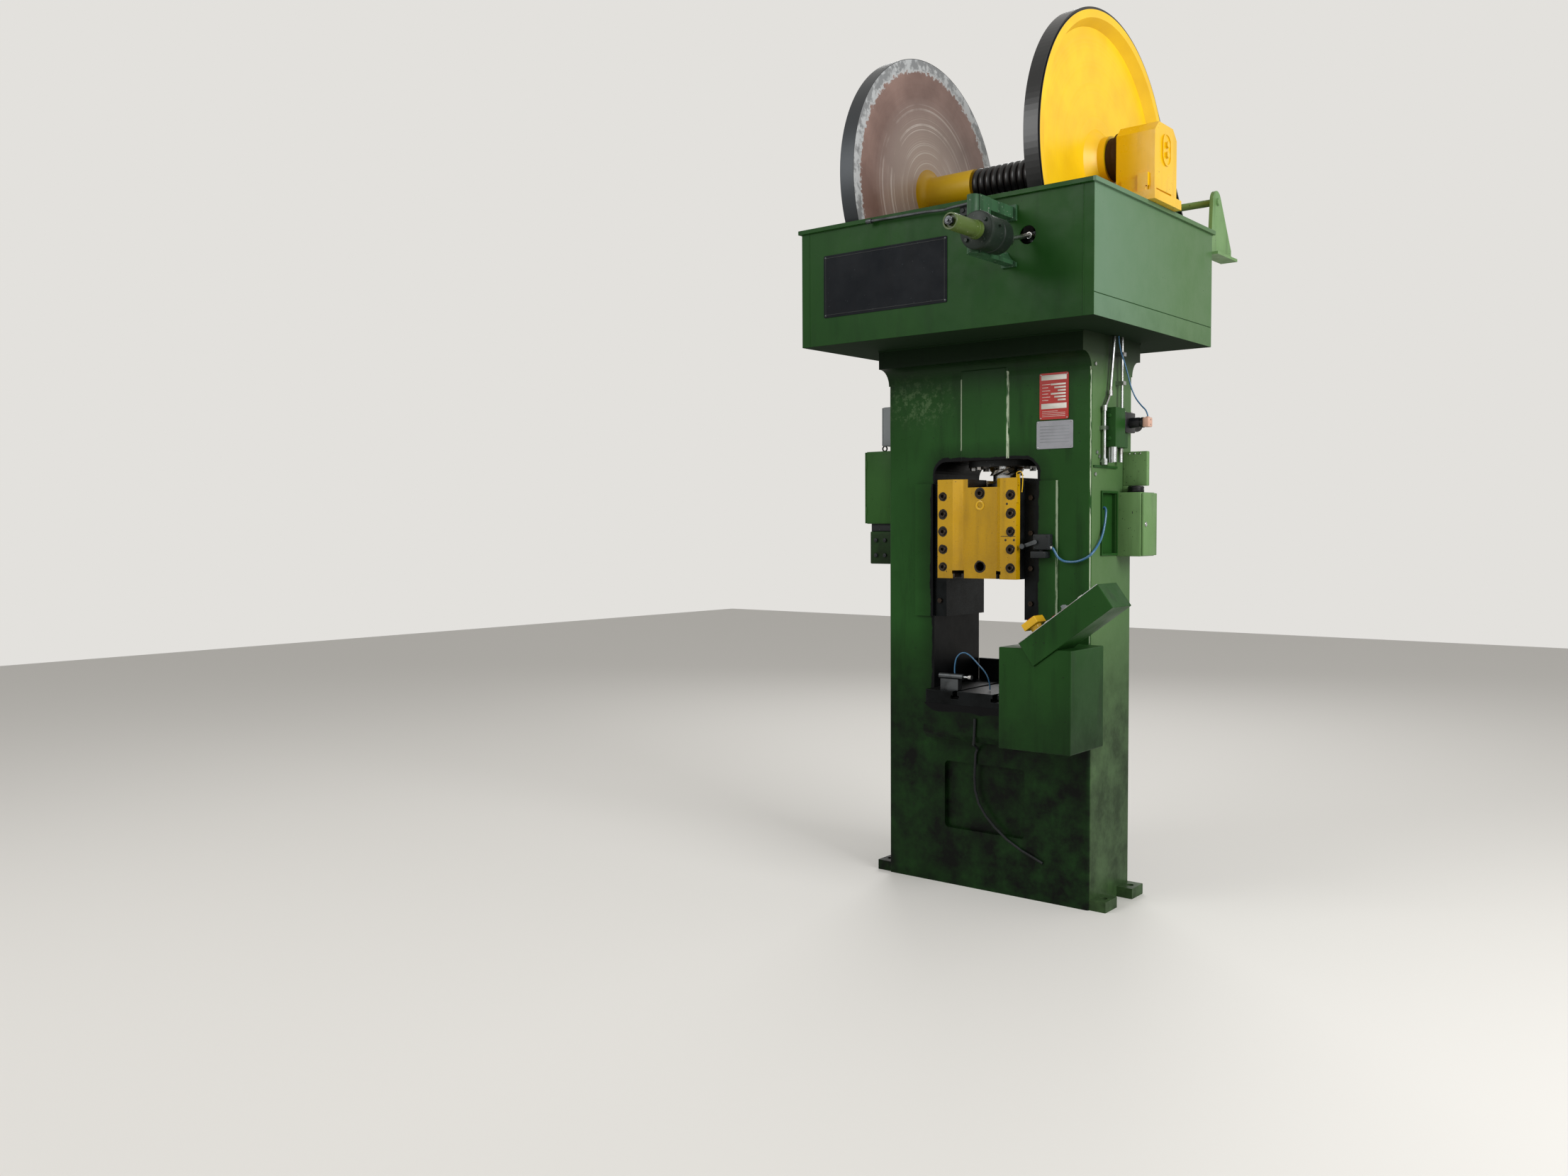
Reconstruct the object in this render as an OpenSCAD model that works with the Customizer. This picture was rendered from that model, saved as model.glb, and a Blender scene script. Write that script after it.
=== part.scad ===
// Friction screw press: a cast frame carries a double-disc friction drive on its head.
// Two upright discs turn a horizontal flywheel, and its multi-start screw drives the ram.
// X runs to the right, Y to the back and Z up. The origin is on the floor, under the screw.

/* [Frame] */
// Width of the cast frame
frame_w = 1000; // [900:10:1200]
// Depth of the cast frame
frame_d = 390; // [360:10:480]
// Height of the frame, up to the drive head
frame_h = 2390; // [2300:10:2600]
// Clear width of the frame's window
window_w = 512; // [470:2:560]
// Height of the window's ceiling
window_top = 1885; // [1850:5:1950]
// Height of the bed under the bolster plate
bed_z = 820; // [760:10:840]
// How far the head flange and the bed stand out past the frame, front and back
ledge_out = 80; // [50:5:110]

/* [Ram] */
// Width of the ram over its side liners
ram_w = 388; // [340:4:400]
// Height of the ram
ram_h = 430; // [380:10:450]
// Height of the ram's underside at the top of its stroke
ram_z = 1374; // [1340:2:1400]
// Depth of the ram's guided body
ram_d = 360; // [300:10:380]
// How far the ram's front face stands out past the frame
ram_out = 71; // [40:1:90]
// Working stroke of the ram
stroke = 250; // [150:10:280]
// Width of the tee slots' throat in the ram and the bolster
tee_w = 22; // [14:1:28]
// Distance between the two tee slots
tee_pitch = 200; // [160:5:240]
// Bore for the tool's shank
shank_r = 25; // [15:1:32]

/* [Screw] */
// Outer radius of the screw thread
screw_r = 75; // [60:1:85]
// Radial depth of the thread
thread_depth = 13; // [9:1:15]
// Number of thread starts
starts = 4; // [3:1:4]
// Rise of the screw in one turn
lead = 180; // [150:10:220]
// Clearance between the screw's thread and the nut's
thread_gap = 2; // [1.5:0.25:3]
// Outer radius of the bronze nut
nut_r = 125; // [110:1:140]

/* [Drive] */
// Height of the drive shaft above the floor
shaft_z = 3118; // [3090:2:3220]
// Radius of the drive shaft
shaft_r = 45; // [35:1:55]
// How far the discs' rims reach past the casing's front lip
disc_past = 3; // [0:1:40]
// Width of the discs' rims
disc_w = 70; // [50:2:80]
// Thickness of the discs' webs
web_t = 24; // [18:1:32]
// Radius of the flywheel over its friction band
wheel_r = 398; // [370:1:410]
// Height of the flywheel's rim
wheel_h = 140; // [100:5:160]
// Height of the flywheel's rim above the drive head's floor
wheel_lift = 410; // [390:5:440]
// Gap between each disc and the flywheel at rest
disc_gap = 6; // [4:0.5:9]
// Radius of the motor pulley
pulley_r = 110; // [90:5:130]
// Thickness of the flat belt
belt_t = 8; // [5:1:10]

/* [Head casing] */
// Width of the head casing
case_w = 1390; // [1350:10:1450]
// Depth of the head casing
case_d = 1170; // [1050:10:1250]
// Height of the head casing
case_h = 510; // [470:10:520]
// Thickness of the casing's sheet
case_t = 8; // [5:1:12]
// Overhang of the lip round the casing's rim
lip_out = 12; // [8:1:20]

/* [Control desk] */
// Tilt of the control box
desk_tilt = 36; // [20:1:45]
// Length of the control box
desk_l = 420; // [380:10:460]
// Depth of the control box
desk_d = 110; // [90:5:140]
// Width of the control box
desk_w = 170; // [140:5:200]

/* [Hidden] */

$fn = 64;
green = "#2f5c33";
pale_green = "#6f9468";
dark_steel = "#3b3d3f";
steel = "#8d9092";
yellow = "#e3b021";
bronze = "#a9793a";
black = "#1d1e20";

// Running and fitting clearances
fit = 0.05;
slip = 0.3;

frame_y = frame_d / 2;
head_z = frame_h;
case_front = case_d / 2;
disc_r = case_front + lip_out + disc_past;
case_top = head_z + case_h;
half_win = window_w / 2;
half_ram = ram_w / 2;
ledge_y = frame_y + ledge_out;

// Places one copy on each side of the machine
module both_sides() {
    children();
    mirror([1, 0, 0]) children();
}

// Hexagon bolt head with its shank, the head standing up from z = 0
module hex_bolt(across, head, shank_r, shank_l) {
    cylinder(r = across / sqrt(3), h = head, $fn = 6);
    if (shank_l > 0) translate([0, 0, -shank_l]) cylinder(r = shank_r, h = shank_l);
}

// Socket cap screw standing up from z = 0, with its hexagon socket
module cap_screw(d, shank_l) {
    difference() {
        cylinder(r = d * 0.75, h = d);
        translate([0, 0, d * 0.45]) cylinder(r = d * 0.46, h = d, $fn = 6);
    }
    if (shank_l > 0) translate([0, 0, -shank_l]) cylinder(r = d / 2, h = shank_l);
}

// Bar along X with a profile drawn in Y and Z
module along_x(length) {
    translate([-length / 2, 0, 0]) rotate([90, 0, 90]) linear_extrude(length) children();
}

// Turned shape whose axis runs along X, with the profile as radius and X
module turned_x() {
    rotate([0, 90, 0]) rotate_extrude($fn = 96) children();
}

// Rectangle with round corners, centred
module round_rect(w, h, r) {
    hull() for (sx = [-1, 1], sy = [-1, 1])
        translate([sx * (w / 2 - r), sy * (h / 2 - r)]) circle(r = r, $fn = 32);
}

// Frame

edge_r = 14;
flange_t = 82;
fillet_r = 70;
window_corner = 62;
panel_half = 117;
panel_out = 14;
pad_out = 12;
pad_w = 94;
pad_z0 = 1200;
pad_z1 = 1790;
apron_z = 660;
apron_half = 262;
foot_w = 70;
foot_h = 45;
foot_hole_r = 17;
foot_y = 130;
nut_l = 400;

// Side outline of the head flange, with its fillet into the frame's face
function arc(cx, cy, r, a0, a1, n = 10) =
    [for (i = [0:n]) [cx + r * cos(a0 + (a1 - a0) * i / n), cy + r * sin(a0 + (a1 - a0) * i / n)]];

module flange_side() {
    flange_z = head_z - flange_t;
    polygon(concat([[0, head_z], [ledge_y, head_z], [ledge_y, flange_z]],
                   arc(frame_y + fillet_r, flange_z - fillet_r, fillet_r, 90, 180),
                   [[0, flange_z - fillet_r]]));
}

module apron_side() {
    polygon(concat([[0, bed_z], [ledge_y, bed_z], [ledge_y, apron_z + 30]],
                   [[ledge_y - 30, apron_z]], [[0, apron_z]]));
}

module panel_front() {
    top_z = head_z - flange_t - fillet_r / 2;
    translate([0, -frame_y, window_top - 40]) linear_extrude(top_z - window_top + 40)
        hull() for (s = [-1, 1])
            translate([s * (panel_half - panel_out), 0]) circle(r = panel_out, $fn = 32);
}

module pads() {
    both_sides() translate([half_win, -frame_y - pad_out, pad_z0])
        cube([pad_w, pad_out + 10, pad_z1 - pad_z0]);
}

module window_hole() {
    mid = (bed_z + window_top) / 2;
    translate([0, frame_d, mid]) rotate([90, 0, 0]) linear_extrude(2 * frame_d)
        round_rect(window_w, window_top - bed_z, window_corner);
    translate([-half_win, -frame_d, bed_z]) cube([window_w, 2 * frame_d, 200]);
}

module foot_lugs() {
    for (sx = [-1, 1], sy = [-1, 1])
        translate([sx * (frame_w / 2 + foot_w / 2 - 5), sy * foot_y, foot_h / 2])
            cube([foot_w + 10, 110, foot_h], center = true);
}

module frame() {
    color(green) difference() {
        union() {
            linear_extrude(head_z) round_rect(frame_w, frame_d, edge_r);
            along_x(frame_w) flange_side();
            mirror([0, 1, 0]) along_x(frame_w) flange_side();
            along_x(2 * apron_half) apron_side();
            mirror([0, 1, 0]) along_x(2 * apron_half) apron_side();
            panel_front();
            pads();
            foot_lugs();
        }
        window_hole();
        translate([0, 0, window_top - 1]) cylinder(r = nut_r + fit, h = head_z - window_top + 2);
        for (s = [-1, 1]) translate([s * (frame_w / 2 + foot_w / 2), foot_y, -1]) {
            cylinder(r = foot_hole_r, h = foot_h + 2);
            translate([0, -2 * foot_y, 0]) cylinder(r = foot_hole_r, h = foot_h + 2);
        }
        base_panel();
        ejector_hole();
        translate([side_x - recess_depth, recess_y0, recess_z0])
            cube([recess_depth + 1, recess_y1 - recess_y0, recess_z1 - recess_z0]);
    }
}

// Shallow recess in the front of the base
module base_panel() {
    panel_w = 400;
    panel_h = 300;
    panel_depth = 22;
    translate([0, -frame_y + panel_depth, 405]) rotate([90, 0, 0])
        linear_extrude(panel_depth + 1) round_rect(panel_w, panel_h, 20);
}

ejector_r = 20;
ejector_l = 260;
ejector_lift = 60;

module ejector_hole() {
    translate([0, 0, bed_z - ejector_l]) cylinder(r = ejector_r + fit, h = ejector_l + 1);
}

// Bed

bolster_w = 500;
bolster_t = 60;
tee_head = 2 * tee_w - 4;
tee_head_h = 14;
tee_throat_h = 20;

// Tee slot outline with its mouth at y = 0 and the slot going up
module tee_slot() {
    translate([-tee_w / 2, -1]) square([tee_w, tee_throat_h + 2]);
    translate([-tee_head / 2, tee_throat_h]) square([tee_head, tee_head_h]);
}

module bolster_plate() {
    color(dark_steel) difference() {
        translate([-bolster_w / 2, -ledge_y, bed_z]) cube([bolster_w, ledge_y + frame_y, bolster_t]);
        for (s = [-1, 1]) translate([s * tee_pitch / 2, ledge_y + 1, bed_z + bolster_t])
            rotate([90, 0, 0]) linear_extrude(2 * ledge_y + 2) mirror([0, 1]) tee_slot();
        translate([0, 0, bed_z - 1]) cylinder(r = ejector_r + fit, h = bolster_t + 2);
    }
}

sill_h = 160;
sill_t = 20;

// Plate across the back of the window that keeps scale off the floor behind
module rear_sill() {
    color(dark_steel) translate([-half_win + slip, frame_y + 0.02, bed_z])
        cube([window_w - 2 * slip, sill_t, sill_h]);
}

module ejector_pin() {
    color(steel) translate([0, 0, bed_z - ejector_l])
        cylinder(r = ejector_r, h = ejector_l + bolster_t);
}

// Nut and screw

retainer_r = 168;
retainer_t = 25;
retainer_in = screw_r + 18;
retainer_bolts = 8;
retainer_pcd = 2 * (nut_r + retainer_r) / 2;

// Cross-section of the thread: trapezoid lobes on the core, one for each start
function lobe(r0, r1, grow) = let (pitch = 360 / starts)
    [for (i = [0:starts - 1], k = [[-0.33, r0], [-0.17, r1], [0, r1], [0.17, r1], [0.33, r0]])
        let (side = sign(k[0]), a = pitch * (i + k[0]) + side * grow)
        [k[1] * cos(a), k[1] * sin(a)]];

module helix(r0, r1, grow, z0, z1) {
    turn_steps = 16;
    turns = (z1 - z0) / lead;
    translate([0, 0, z0]) rotate(360 * z0 / lead)
        linear_extrude(z1 - z0, twist = -360 * turns, slices = ceil(turns * turn_steps),
                       segments = 5 * starts, convexity = 10)
            polygon(lobe(r0, r1, grow));
}

nut_z0 = window_top;
nut_z1 = nut_z0 + nut_l;

module lead_nut() {
    color(bronze) difference() {
        translate([0, 0, nut_z0]) cylinder(r = nut_r, h = nut_l, $fn = 96);
        helix(screw_r - thread_depth + thread_gap, screw_r + thread_gap, 2.2 * thread_gap,
              nut_z0 - 2, nut_z1 + 2);
    }
}

module nut_retainer() {
    color(black) translate([0, 0, window_top - retainer_t]) difference() {
        cylinder(r = retainer_r, h = retainer_t, $fn = 96);
        translate([0, 0, -1]) cylinder(r = retainer_in, h = retainer_t + 2);
        retainer_holes(10 + fit, -1, retainer_t + 2);
    }
}

module retainer_holes(r, z0, h) {
    for (i = [0:retainer_bolts - 1]) rotate(360 / retainer_bolts * (i + 0.5))
        translate([retainer_pcd / 2, 0, z0]) cylinder(r = r, h = h);
}

module nut_bolts() {
    head_z0 = window_top - retainer_t;
    color(steel) for (i = [0:retainer_bolts - 1]) rotate(360 / retainer_bolts * (i + 0.5))
        translate([retainer_pcd / 2, 0, head_z0]) mirror([0, 0, 1]) hex_bolt(28, 12, 10, retainer_t);
}

ram_top = ram_z + ram_h;
collar_r = 96;
collar_h = 90;
pivot_z = ram_top - 130;
wheel_z = head_z + wheel_lift;
hub_r = 120;
hub_z0 = wheel_z - 175;
hub_z1 = wheel_z + wheel_h + 10;
journal_r = 58;

// The screw: thrust collar in the ram, threaded length, and the journal in the flywheel's hub
module screw() {
    color(steel) {
        translate([0, 0, pivot_z]) cylinder(r = collar_r, h = collar_h);
        translate([0, 0, pivot_z + collar_h]) cylinder(r = screw_r - thread_depth - 2, h = 60);
        helix(screw_r - thread_depth, screw_r, 0, pivot_z + collar_h + 60, hub_z0);
        translate([0, 0, hub_z0]) cylinder(r = journal_r, h = hub_z1 - hub_z0);
        translate([0, 0, hub_z1]) cylinder(r = journal_r + 24, h = 14, $fn = 8);
    }
}

band_t = 12;
rim_t = 62;
spider_t = 46;
spokes = 6;
spoke_hole_r = 62;
spoke_ring = 215;

module flywheel() {
    iron_r = wheel_r - band_t;
    color(dark_steel) difference() {
        rotate_extrude($fn = 120) polygon([
            [journal_r + fit, hub_z0], [hub_r, hub_z0], [hub_r + 6, hub_z0 + 90],
            [hub_r + 22, wheel_z + 40], [iron_r - rim_t, wheel_z + 40], [iron_r - rim_t + 8, wheel_z],
            [iron_r, wheel_z], [iron_r, wheel_z + wheel_h], [iron_r - rim_t + 8, wheel_z + wheel_h],
            [iron_r - rim_t, wheel_z + 40 + spider_t], [hub_r + 14, wheel_z + 40 + spider_t],
            [hub_r, hub_z1], [journal_r + fit, hub_z1]]);
        for (i = [0:spokes - 1]) rotate(360 / spokes * i)
            translate([spoke_ring, 0, wheel_z - 5]) cylinder(r = spoke_hole_r, h = wheel_h);
    }
}

module friction_band() {
    color("#5a3a2a") translate([0, 0, wheel_z + 8]) difference() {
        cylinder(r = wheel_r, h = wheel_h - 16, $fn = 120);
        translate([0, 0, -1]) cylinder(r = wheel_r - band_t + fit, h = wheel_h, $fn = 120);
    }
}

// Ram and guides

ram_front = frame_y + ram_out;
liner_t = 12;
flange_d = 34;
core_half = half_ram - liner_t;
recess_half = panel_half;
recess_in = 33;
notch_h = 36;
cap_r = 150;
cap_t = 30;
cap_inset = 1.5;

// Plan of the ram casting: a front flange over the liners and a recessed middle
module ram_plan() {
    y0 = -ram_front;
    polygon([[-half_ram, y0], [-recess_half, y0], [-recess_half + recess_in, y0 + recess_in],
             [recess_half - recess_in, y0 + recess_in], [recess_half, y0], [half_ram, y0],
             [half_ram, y0 + flange_d], [core_half, y0 + flange_d], [core_half, y0 + ram_d],
             [core_half - 40, y0 + ram_d + 40], [-core_half + 40, y0 + ram_d + 40],
             [-core_half, y0 + ram_d], [-core_half, y0 + flange_d], [-half_ram, y0 + flange_d]]);
}

ram_bolt_x = half_ram - 27;
ram_bolt_z = [for (i = [0:4]) ram_z + 49 + i * (ram_h - 122) / 4];

module ram() {
    y0 = -ram_front;
    color(yellow) difference() {
        translate([0, 0, ram_z]) linear_extrude(ram_h) ram_plan();
        translate([-recess_half + recess_in + 24, y0 - 1, ram_top - notch_h])
            cube([2 * (recess_half - recess_in) - 24, ram_d + 60, notch_h + 1]);
        for (s = [-1, 1]) translate([s * tee_pitch / 2, y0 - 1, ram_z]) rotate([90, 0, 0])
            mirror([0, 0, 1]) linear_extrude(ram_d + 60) tee_slot();
        translate([0, 0, ram_z - 1]) cylinder(r = shank_r, h = 111);
        translate([0, 0, pivot_z - 0.5]) cylinder(r = collar_r + slip, h = ram_h);
        for (s = [-1, 1], z = ram_bolt_z) translate([s * ram_bolt_x, y0 - 1, z])
            rotate([-90, 0, 0]) cylinder(r = 15.3, h = 15);
        translate([0, y0 - 1, ram_z + 52]) rotate([-90, 0, 0]) cylinder(r = 20, h = recess_in + 80);
        translate([0, y0 - 1, ram_top - 62]) rotate([-90, 0, 0])
            cylinder(r = 17, h = recess_in + 16);
    }
}

module ram_bolts() {
    y0 = -ram_front;
    color(dark_steel) {
        for (s = [-1, 1], z = ram_bolt_z) translate([s * ram_bolt_x, y0 + 14, z])
            rotate([90, 0, 0]) cap_screw(20, 0);
        translate([0, y0 + recess_in + 15, ram_top - 62]) rotate([90, 0, 0]) cap_screw(22, 0);
    }
}

module ram_liners() {
    color(dark_steel) both_sides()
        translate([core_half, -ram_front + flange_d, ram_z]) cube([liner_t, ram_d - flange_d, ram_h]);
}

// Cover ring that holds the screw's collar down in the ram
module screw_cap() {
    seat = ram_top - notch_h;
    color(dark_steel) difference() {
        union() {
            translate([0, 0, pivot_z + collar_h + slip])
                cylinder(r = collar_r, h = seat - pivot_z - collar_h - slip);
            translate([0, 0, seat]) cylinder(r = collar_r - 12, h = 20);
        }
        translate([0, 0, pivot_z]) cylinder(r = screw_r + 3, h = ram_h);
    }
}

module switch_cam() {
    cam_t = 5;
    color(yellow) translate([half_ram, -ram_front, ram_top - 105]) {
        cube([cam_t, 20, 120]);
        translate([0, 10, 78]) rotate([0, 90, 0]) translate([0, 0, cam_t]) cylinder(r = 7, h = 5, $fn = 6);
    }
}

gib_y = 42;
gib_w = half_win - half_ram - 2 * slip;

module gib_bar(y0) {
    translate([half_ram + slip, y0, pad_z0]) cube([gib_w + slip, gib_y, pad_z1 - pad_z0]);
}

// Four guide bars, one in each corner of the window
module gibs() {
    color(dark_steel) both_sides() {
        gib_bar(-frame_y + 4);
        gib_bar(frame_y - gib_y - 60);
        translate([half_ram + slip, -frame_y + 4 + gib_y, pad_z0])
            cube([18, frame_d - 2 * gib_y - 64, pad_z1 - pad_z0]);
    }
}

module gib_bolts() {
    color(steel) both_sides() for (i = [0:3])
        translate([half_ram + 32, -frame_y + 4, pad_z0 + 70 + i * 150]) rotate([90, 0, 0])
            hex_bolt(20, 9, 5, 0);
}

// Drive shaft, discs and bearings

disc_x = wheel_r + disc_gap;
shaft_half = 690;
shaft_l = 2 * shaft_half;
nose_x = 150;
nose_r = 60;
nose_l = 32;
inner_hub_r = 78;
rim_face = 34;
outer_hub_r = 98;
outer_hub_x = disc_x + disc_w + 24;
ring_x = outer_hub_x + 3;
house_x0 = 560;
house_x1 = 724;
house_half = 110;
house_r = 90;

// Half-section of a disc along its own axis, as radius and X from the machine's middle
module disc_section() {
    polygon(concat(
        [[shaft_r + fit, nose_x - nose_l], [nose_r, nose_x - nose_l], [nose_r, nose_x],
         [inner_hub_r, nose_x], [inner_hub_r, disc_x - 34]],
        arc(inner_hub_r + 34, disc_x - 34, 34, 180, 90, 8),
        [[disc_r, disc_x], [disc_r, disc_x + disc_w], [disc_r - rim_face, disc_x + disc_w],
         [disc_r - rim_face - 26, disc_x + web_t + 6], [outer_hub_r + 40, disc_x + web_t],
         [outer_hub_r, disc_x + disc_w - 6], [outer_hub_r, outer_hub_x],
         [shaft_r + fit, outer_hub_x]]));
}

module disc_body() {
    translate([0, 0, shaft_z]) rotate([90, 0, 90]) rotate_extrude($fn = 180) disc_section();
}

module left_disc() {
    color(yellow) mirror([1, 0, 0]) disc_body();
}

module right_disc() {
    color(yellow) disc_body();
}

module drive_shaft() {
    color(steel) translate([-shaft_l / 2, 0, shaft_z]) rotate([0, 90, 0])
        cylinder(r = shaft_r, h = shaft_l);
}

bellow_rings = 9;
bellow_half = nose_x - disc_gap - 0.5;
bellow_r = 77;

// Rubber bellows round the centring spring, with a cuff over each hub's nose
module bellows() {
    inner = nose_r + slip;
    pitch = 2 * bellow_half / bellow_rings;
    hub_half = 14;
    color(black) translate([0, 0, shaft_z]) rotate([90, 0, 90]) rotate_extrude($fn = 72)
        polygon(concat([[inner, -bellow_half]],
            [for (i = [0:bellow_rings - 1], k = [[0.04, -9], [0.3, 0], [0.7, 0], [0.96, -9]])
                [bellow_r + k[1], -bellow_half + pitch * (i + k[0])]],
            [[inner, bellow_half], [inner, hub_half], [shaft_r, hub_half], [shaft_r, -hub_half],
             [inner, -hub_half]]));
}

module housing_shape() {
    chamfer = 40;
    foot_top = case_top + 38;
    top = shaft_z + 100;
    translate([house_x0, 0, 0]) rotate([90, 0, 90]) linear_extrude(house_x1 - house_x0)
        polygon([[-house_half, case_top], [-house_half, top - chamfer],
                 [-house_half + chamfer, top], [house_half - chamfer, top],
                 [house_half, top - chamfer], [house_half, case_top]]);
    translate([house_x0 - 4, -house_half - 24, case_top])
        cube([house_x1 - house_x0 + 16, 2 * house_half + 48, foot_top - case_top]);
    for (s = [-1, 1]) {
        translate([house_x1 - 66, s * house_half - 15, foot_top - 1]) cube([44, 30, 74]);
        translate([house_x0 + 26, s * house_half - 8, foot_top - 1]) cube([72, 16, 58]);
    }
}

module bearing_housings() {
    end_wall = 16;
    color(yellow) both_sides() difference() {
        housing_shape();
        translate([house_x0 - 1, 0, shaft_z]) rotate([0, 90, 0])
            cylinder(r = house_r, h = house_x1 - house_x0 - end_wall + 1);
        translate([house_x1 - 12, -92, case_top + 38 - 1]) cube([40, 150, 14]);
        for (s = [-1, 1], x = [house_x0 + 28, house_x1 - 28])
            translate([x, s * (house_half + 8), case_top - 1]) cylinder(r = 8, h = 60);
    }
}

// Oval boss on the housing's end face, with its two bolt heads
module cap_shape() {
    cap_half = 24;
    translate([house_x1, 0, shaft_z]) rotate([0, 90, 0]) difference() {
        linear_extrude(6) hull() for (s = [-1, 1]) translate([s * cap_half, 0]) circle(r = 40);
        translate([0, 0, 2]) linear_extrude(6) hull() for (s = [-1, 1])
            translate([s * cap_half, 0]) circle(r = 35);
    }
    for (s = [-1, 1]) translate([house_x1 + 2, 0, shaft_z + s * 20]) rotate([0, 90, 0])
        cylinder(r = 14, h = 10, $fn = 6);
}

module bearing_caps() {
    color(yellow) both_sides() cap_shape();
}

// Roller bearing rings between the shaft and the housings
module bearing_seals() {
    seal_l = 90;
    color(steel) both_sides() translate([house_x0 + 14, 0, shaft_z])
        rotate([0, 90, 0]) difference() {
            cylinder(r = house_r, h = seal_l);
            translate([0, 0, -1]) cylinder(r = shaft_r + fit, h = seal_l + 2);
        }
}

// Two-step pusher ring between each disc's hub and its housing
module thrust_rings() {
    ring_end = house_x0;
    step = (ring_end - ring_x - disc_gap) / 2;
    color("#4a3524") both_sides() translate([ring_end, 0, shaft_z]) rotate([0, -90, 0])
        difference() {
            union() {
                cylinder(r = 102, h = step);
                cylinder(r = 88, h = 2 * step + disc_gap);
            }
            translate([0, 0, -1]) cylinder(r = shaft_r + 3, h = 4 * step);
        }
}

// Motor and belt

motor_y = 840;
motor_drop = 318;
motor_z = shaft_z - motor_drop;
motor_r = 128;
motor_x0 = 20;
motor_x1 = 340;
belt_w = 62;
belt_x = disc_x + (disc_w - belt_w) / 2;
pivot_y = 650;
pivot_rise = 240;
pivot_bar_z = motor_z + pivot_rise;
plate_y = motor_y - motor_r - 36;

module motor() {
    fins = 20;
    color(pale_green) {
        translate([motor_x0, motor_y, motor_z]) rotate([0, 90, 0]) {
            cylinder(r = motor_r - 14, h = motor_x1 - motor_x0);
            translate([0, 0, -52]) cylinder(r = motor_r - 4, h = 56);
            translate([0, 0, motor_x1 - motor_x0 - 4]) cylinder(r = motor_r, h = 22);
        }
        for (i = [0:fins - 1]) translate([motor_x0 + 4, motor_y, motor_z])
            rotate([360 / fins * i, 0, 0]) translate([0, -2, 0])
                cube([motor_x1 - motor_x0 - 8, 4, motor_r - 3]);
        translate([(motor_x0 + motor_x1) / 2 - 60, motor_y - 60, motor_z + motor_r - 22])
            cube([120, 90, 66]);
        for (x = [motor_x0 + 20, motor_x1 - 70])
            translate([x, plate_y + 14, motor_z - 90]) cube([50, motor_r - 40, 180]);
    }
}

// Cheeks on the casing's back wall, the pivot bar, and the plate that hangs from it
module motor_bracket() {
    cheek_t = 16;
    wall_y = case_front + lip_out;
    cheeks = [-110, case_w / 2 - cheek_t - 4];
    color(pale_green) {
        for (x = cheeks) translate([x, 0, 0]) {
            rotate([90, 0, 90]) linear_extrude(cheek_t) difference() {
                hull() {
                    translate([pivot_y, pivot_bar_z]) circle(r = 48, $fn = 32);
                    translate([case_front, case_top - 90]) square([8, 60]);
                    translate([wall_y + 222, case_top - 90]) square([8, 40]);
                }
                translate([case_front - 20, case_top - 18 - slip])
                    square([20 + lip_out + slip, 18 + 2 * slip]);
            }
            translate([-30, case_front, case_top - 102]) cube([cheek_t + 60, 240, 12]);
        }
        translate([-120, pivot_y, pivot_bar_z]) rotate([0, 90, 0])
            cylinder(r = 16, h = case_w / 2 + 126);
        translate([-70, plate_y, motor_z - 150]) cube([440, 14, 330]);
        for (x = [-60, 330]) translate([x, 0, 0]) rotate([90, 0, 90]) linear_extrude(20) hull() {
            translate([pivot_y, pivot_bar_z]) circle(r = 26, $fn = 32);
            translate([plate_y, motor_z + 130]) square([14, 40]);
        }
    }
}

module motor_pulley() {
    color(dark_steel) translate([motor_x1 + 20, motor_y, motor_z]) rotate([0, 90, 0]) {
        cylinder(r = 24, h = belt_x + belt_w - motor_x1 - 10);
        translate([0, 0, belt_x - motor_x1 - 24]) difference() {
            cylinder(r = pulley_r, h = belt_w + 8);
            translate([0, 0, belt_w - 12]) rotate_extrude()
                polygon([[40, 0], [pulley_r - 24, 0], [pulley_r - 16, 30], [40, 30]]);
        }
    }
}

module belt_outline(grow) {
    hull() {
        translate([0, shaft_z]) circle(r = disc_r + grow, $fn = 160);
        translate([motor_y, motor_z]) circle(r = pulley_r + grow, $fn = 48);
    }
}

module drive_belt() {
    color(black) translate([belt_x, 0, 0]) rotate([90, 0, 90]) linear_extrude(belt_w) difference() {
        belt_outline(slip + 0.2 + belt_t);
        belt_outline(slip + 0.2);
    }
}

// Head casing

floor_t = 12;
floor_hole_r = 150;
brake_x = 394;
brake_z = 2687;
hole_x = 415;
hole_z = 2725;
brake_hole_r = 36;
seam_z = head_z + 84;

module casing_box() {
    difference() {
        translate([-case_w / 2, -case_d / 2, head_z]) cube([case_w, case_d, case_h]);
        translate([-case_w / 2 + case_t, -case_d / 2 + case_t, head_z + floor_t])
            cube([case_w - 2 * case_t, case_d - 2 * case_t, case_h]);
    }
}

module casing_lip() {
    lip_h = 18;
    translate([0, 0, case_top - lip_h]) difference() {
        translate([-case_w / 2 - lip_out, -case_d / 2 - lip_out, 0])
            cube([case_w + 2 * lip_out, case_d + 2 * lip_out, lip_h]);
        translate([-case_w / 2 + case_t, -case_d / 2 + case_t, -1])
            cube([case_w - 2 * case_t, case_d - 2 * case_t, lip_h + 2]);
    }
}

// Shelf and gussets inside each side wall, under the bearing housing
module saddle() {
    shelf_x = house_x0 - 6;
    shelf_t = 28;
    wall_x = case_w / 2 - case_t;
    translate([shelf_x, -175, case_top - shelf_t]) cube([wall_x - shelf_x + 1, 350, shelf_t]);
    for (y = [-160, -8, 145]) translate([shelf_x + 10, y, head_z + floor_t - 1])
        cube([wall_x - shelf_x - 9, 15, case_h - floor_t - shelf_t + 2]);
}

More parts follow.
